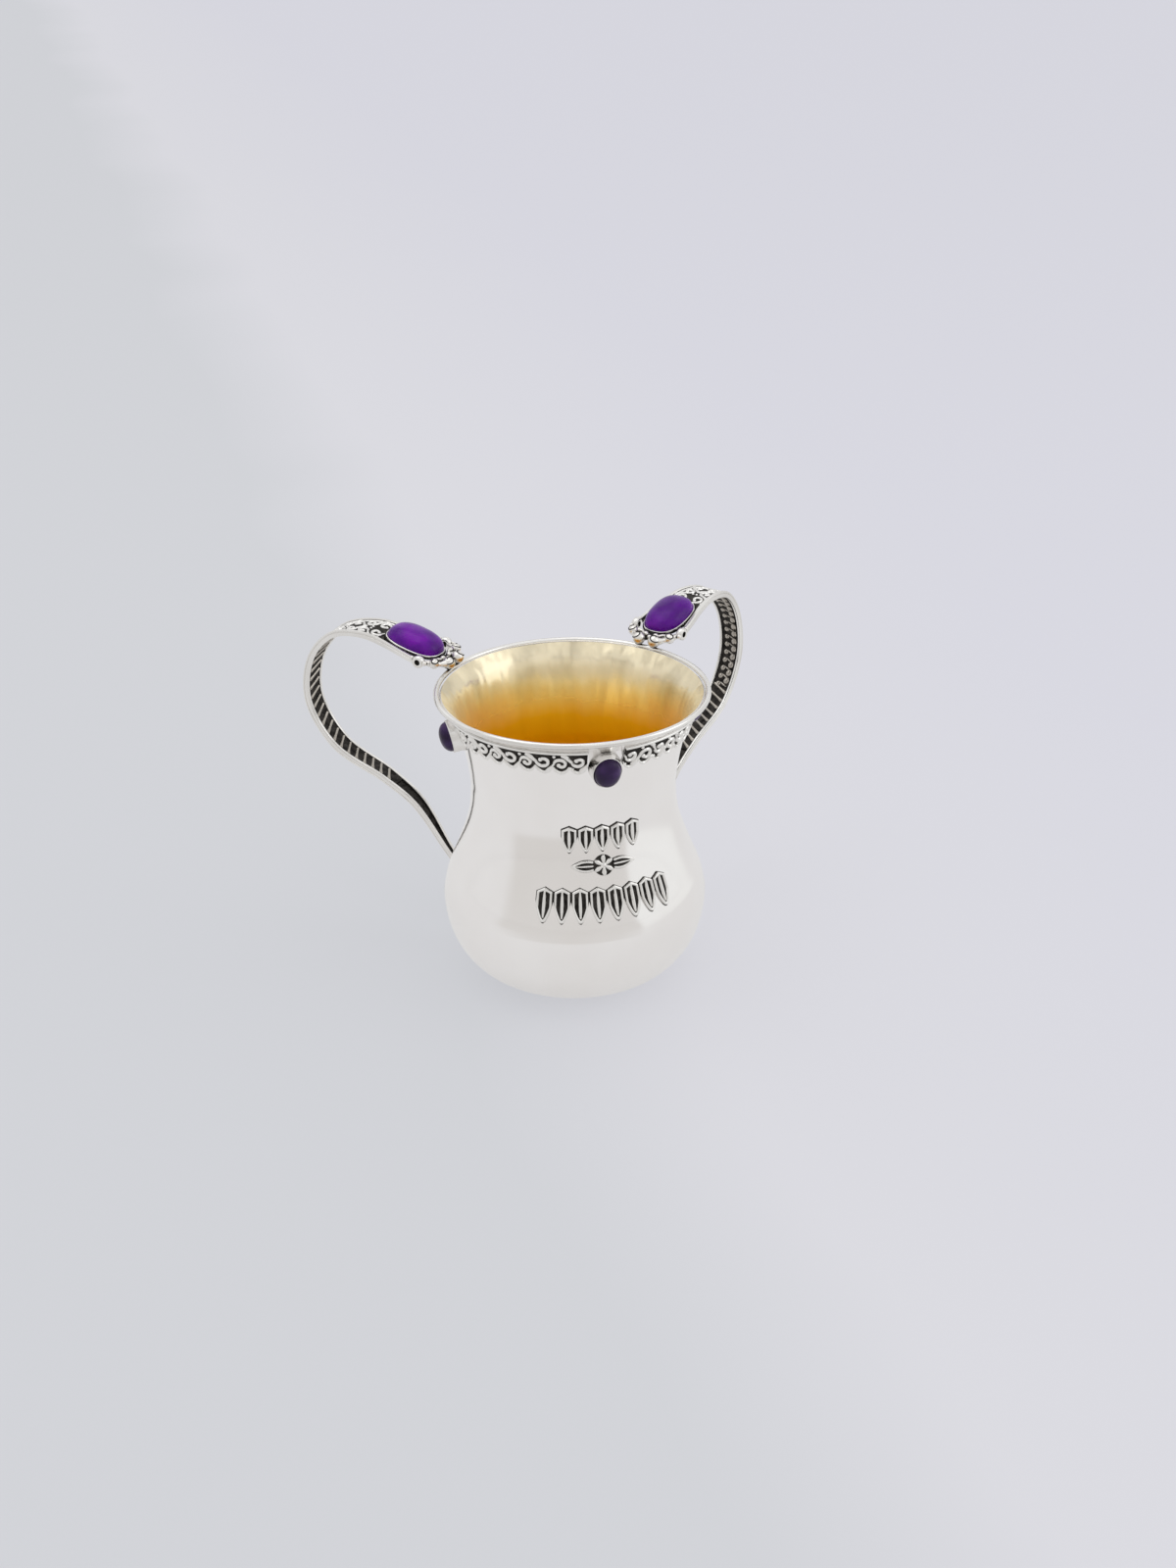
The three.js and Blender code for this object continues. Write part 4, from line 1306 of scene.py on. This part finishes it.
def build_rosette():
    """Flower of six petals between two leaves."""
    width, depth, top = ROSETTE
    middle = top - depth / 2
    root, tip = ROSETTE_LEAF_ROOT * depth, width / 2

    def half_height(u):
        flower = sqrt(max(0, (depth / 2) ** 2 - u ** 2))
        t = (abs(u) - root) / (tip - root)
        leaf = (1 - t) ** 2 * ROSETTE_LEAF_BASE * depth + t * (1 - t) * depth if 0 <= t <= 1 else 0
        return max(flower, leaf, LEAST_HALF_HEIGHT)

    columns = even_columns(
        -tip, tip, RELIEF_STEP, lambda u: middle - half_height(u), lambda u: middle + half_height(u),
    )
    strokes = []
    for i in range(PETALS):
        along, across = on_circle(i + 0.5, PETALS)
        reach = depth * PETAL_REACH
        petal = [(reach * share * along, middle + reach * share * across) for share in PETAL_PLACES]
        strokes.append((petal, PETAL_WIDTHS, ORNAMENT_STROKE))
    strokes.append(dot(0, middle, *ROSETTE_HEART))
    inset, rim_width, rim_height = ROSETTE_RIM
    rim_places = even(depth * ROSETTE_RIM_START, tip, ROSETTE_RIM_STEPS)
    vein_places = even(depth * ROSETTE_VEIN_SPAN[0], tip * ROSETTE_VEIN_SPAN[1], 2)
    for side in (-1, 1):
        for bend in (-1, 1):
            rim = [(side * u, middle + bend * max(0.0, half_height(u) - inset)) for u in rim_places]
            strokes.append(even_stroke(rim, rim_width, rim_height))
        vein = [(side * u, middle) for u in vein_places]
        strokes.append((vein, ROSETTE_VEIN_WIDTHS, ROSETTE_VEIN_HEIGHT))
    emboss("rosette", wall_place(middle, FRONT), columns, strokes, ORNAMENT_GROUND, ["middle_rosette"])


build_bowl()
build_rim()
for number, name in enumerate(("front", "right", "rear", "left")):
    build_neck_stone(name, FRONT + 90 * number)
for number, name in enumerate(("front_right", "rear_right", "rear_left", "front_left")):
    build_band(name, FRONT + 45 + 90 * number)
for name in AZIMUTHS:
    build_handle(name)
for name in ROWS:
    build_row(name)
build_rosette()


# ---- Stage, light and camera


def tent_colours(tree, split):
    """Colour of the lit tent that metal mirrors, by compass bearing: its wall, its opening, its window."""
    turn = maths(tree, "ARCTAN2", split["X"], maths(tree, "MULTIPLY", split["Y"], -1))
    colour = mixed(tree, spread(tree, turn, *OPENING_START), WALL_COLOUR, OPENING)
    colour = mixed(tree, spread(tree, turn, *WINDOW_START), colour, WINDOW)
    return mixed(tree, spread(tree, turn, *WINDOW_END), colour, WALL_COLOUR)


def stage_material():
    """Pale paper that keeps a soft shadow, with a painted fall of light: darker towards -X and lighter
    towards +X. Metal and stones see the lit tent round it.
    """
    material, tree, shader = new_material("studio_paper", {"Roughness": 0.8, "Specular IOR Level": 0.1})
    split = axes(tree)
    # Painted fall of light: the paper's colour rises from -X to +X, with slow noise.
    drift = maths(tree, "MULTIPLY_ADD", noise(tree, 3, 2), 0.1, split["X"])
    paper_with_painted_falloff = ramp(
        tree, drift, (0.0, (0.655, 0.665, 0.70)), (0.1, (0.72, 0.72, 0.765)), (0.4, (0.70, 0.70, 0.765)),
    )
    away = node(tree, "ShaderNodeVectorMath", operation="LENGTH")
    tree.links.new(coordinates(tree), away.inputs[0])
    far = spread(tree, away.outputs["Value"], *TABLE_EDGE)
    mirrored = mixed(tree, far, WALL_COLOUR, tent_colours(tree, split))
    path = tree.nodes.new("ShaderNodeLightPath").outputs
    colour = mixed(tree, path["Is Glossy Ray"], paper_with_painted_falloff, mirrored)
    tree.links.new(colour, shader.inputs["Base Color"])
    glow = node(tree, "ShaderNodeEmission", Strength=1)
    tree.links.new(colour, glow.inputs["Color"])
    looked_at = maths(tree, "MAXIMUM", path["Is Camera Ray"], path["Is Glossy Ray"])
    blend = tree.nodes.new("ShaderNodeMixShader")
    share = maths(tree, "MULTIPLY", looked_at, PAPER_GLOW)
    for socket, source in zip(blend.inputs, (share, shader.outputs["BSDF"], glow.outputs["Emission"])):
        tree.links.new(source, socket)
    tree.links.new(blend.outputs["Shader"], tree.nodes["Material Output"].inputs["Surface"])
    return material


def make_floor():
    mesh = bpy.data.meshes.new("studio_floor")
    corners = [(FLOOR_HALF * x, FLOOR_HALF * y, 0) for x, y in ((-1, -1), (1, -1), (1, 1), (-1, 1))]
    mesh.from_pydata(corners, [], [(0, 1, 2, 3)])
    mesh.materials.append(stage_material())
    floor = bpy.data.objects.new("studio_floor", mesh)
    bpy.context.scene.collection.objects.link(floor)


def make_world():
    """The upper part of the tent, with soft folds. The camera sees far paper there."""
    world = bpy.data.worlds.new("studio")
    bpy.context.scene.world = world
    world.use_nodes = True
    tree = world.node_tree
    split = axes(tree, "Generated")
    folds = noise(tree, 1, 1, 0.5, (3.4, 3.4, 0.3), "Generated")
    high = ramp(tree, folds, (0.38, (0.60, 0.595, 0.59)), (0.48, (0.90, 0.895, 0.89)), (0.58, 1.0))
    sky = mixed(tree, spread(tree, split["Z"], *SKY_START), tent_colours(tree, split), high)
    path = tree.nodes.new("ShaderNodeLightPath")
    background = tree.nodes["Background"]
    tree.links.new(mixed(tree, path.outputs["Is Camera Ray"], sky, FAR_PAPER), background.inputs["Color"])
    background.inputs["Strength"].default_value = 1


def softbox(name, place, aim, size, power):
    light = bpy.data.lights.new(name, "AREA")
    light.shape = "RECTANGLE"
    light.size, light.size_y = size
    light.energy = power
    lamp = bpy.data.objects.new(name, light)
    lamp.location = place
    lamp.rotation_euler = (Vector(aim) - Vector(place)).to_track_quat("-Z", "Y").to_euler()
    bpy.context.scene.collection.objects.link(lamp)


def make_camera():
    centre = Vector((0, 0, CUP_HEIGHT))
    from_centre = turned(cos(ELEVATION), sin(ELEVATION), BEARING - pi / 2)
    forward = -from_centre
    right = forward.cross(Vector((0, 0, 1))).normalized()
    down = forward.cross(right)
    ray = Vector((
        (RIM_PIXEL[0] - PHOTO[0] / 2) / FOCAL_PIXELS,
        (RIM_PIXEL[1] - PHOTO[1] / 2) / FOCAL_PIXELS,
        1,
    )).normalized()
    swing = Vector((0, 0, 1)).rotation_difference(ray)
    roll = Quaternion(ray, ROLL)
    to_camera = (roll @ swing).to_matrix() @ Matrix((right, down, forward))
    x, y, z = to_camera
    camera = bpy.data.cameras.new("camera")
    camera.sensor_width = SENSOR_WIDTH
    camera.lens = FOCAL_PIXELS * SENSOR_WIDTH / PHOTO[1]
    camera.clip_end = CLIP_END
    rig = bpy.data.objects.new("camera", camera)
    rig.matrix_world = placed(x, -y, -z, centre + from_centre * DISTANCE)
    bpy.context.scene.collection.objects.link(rig)
    bpy.context.scene.camera = rig


make_floor()
make_world()
softbox("window", (1.1, -0.35, 0.7), (0, 0, 0.06), (0.7, 0.9), 1.1)
softbox("overhead", (-0.3, 0.2, 1.5), (0, 0, 0.05), (1.2, 1.0), 2.5)
make_camera()
bpy.context.scene.view_settings.view_transform = "Standard"
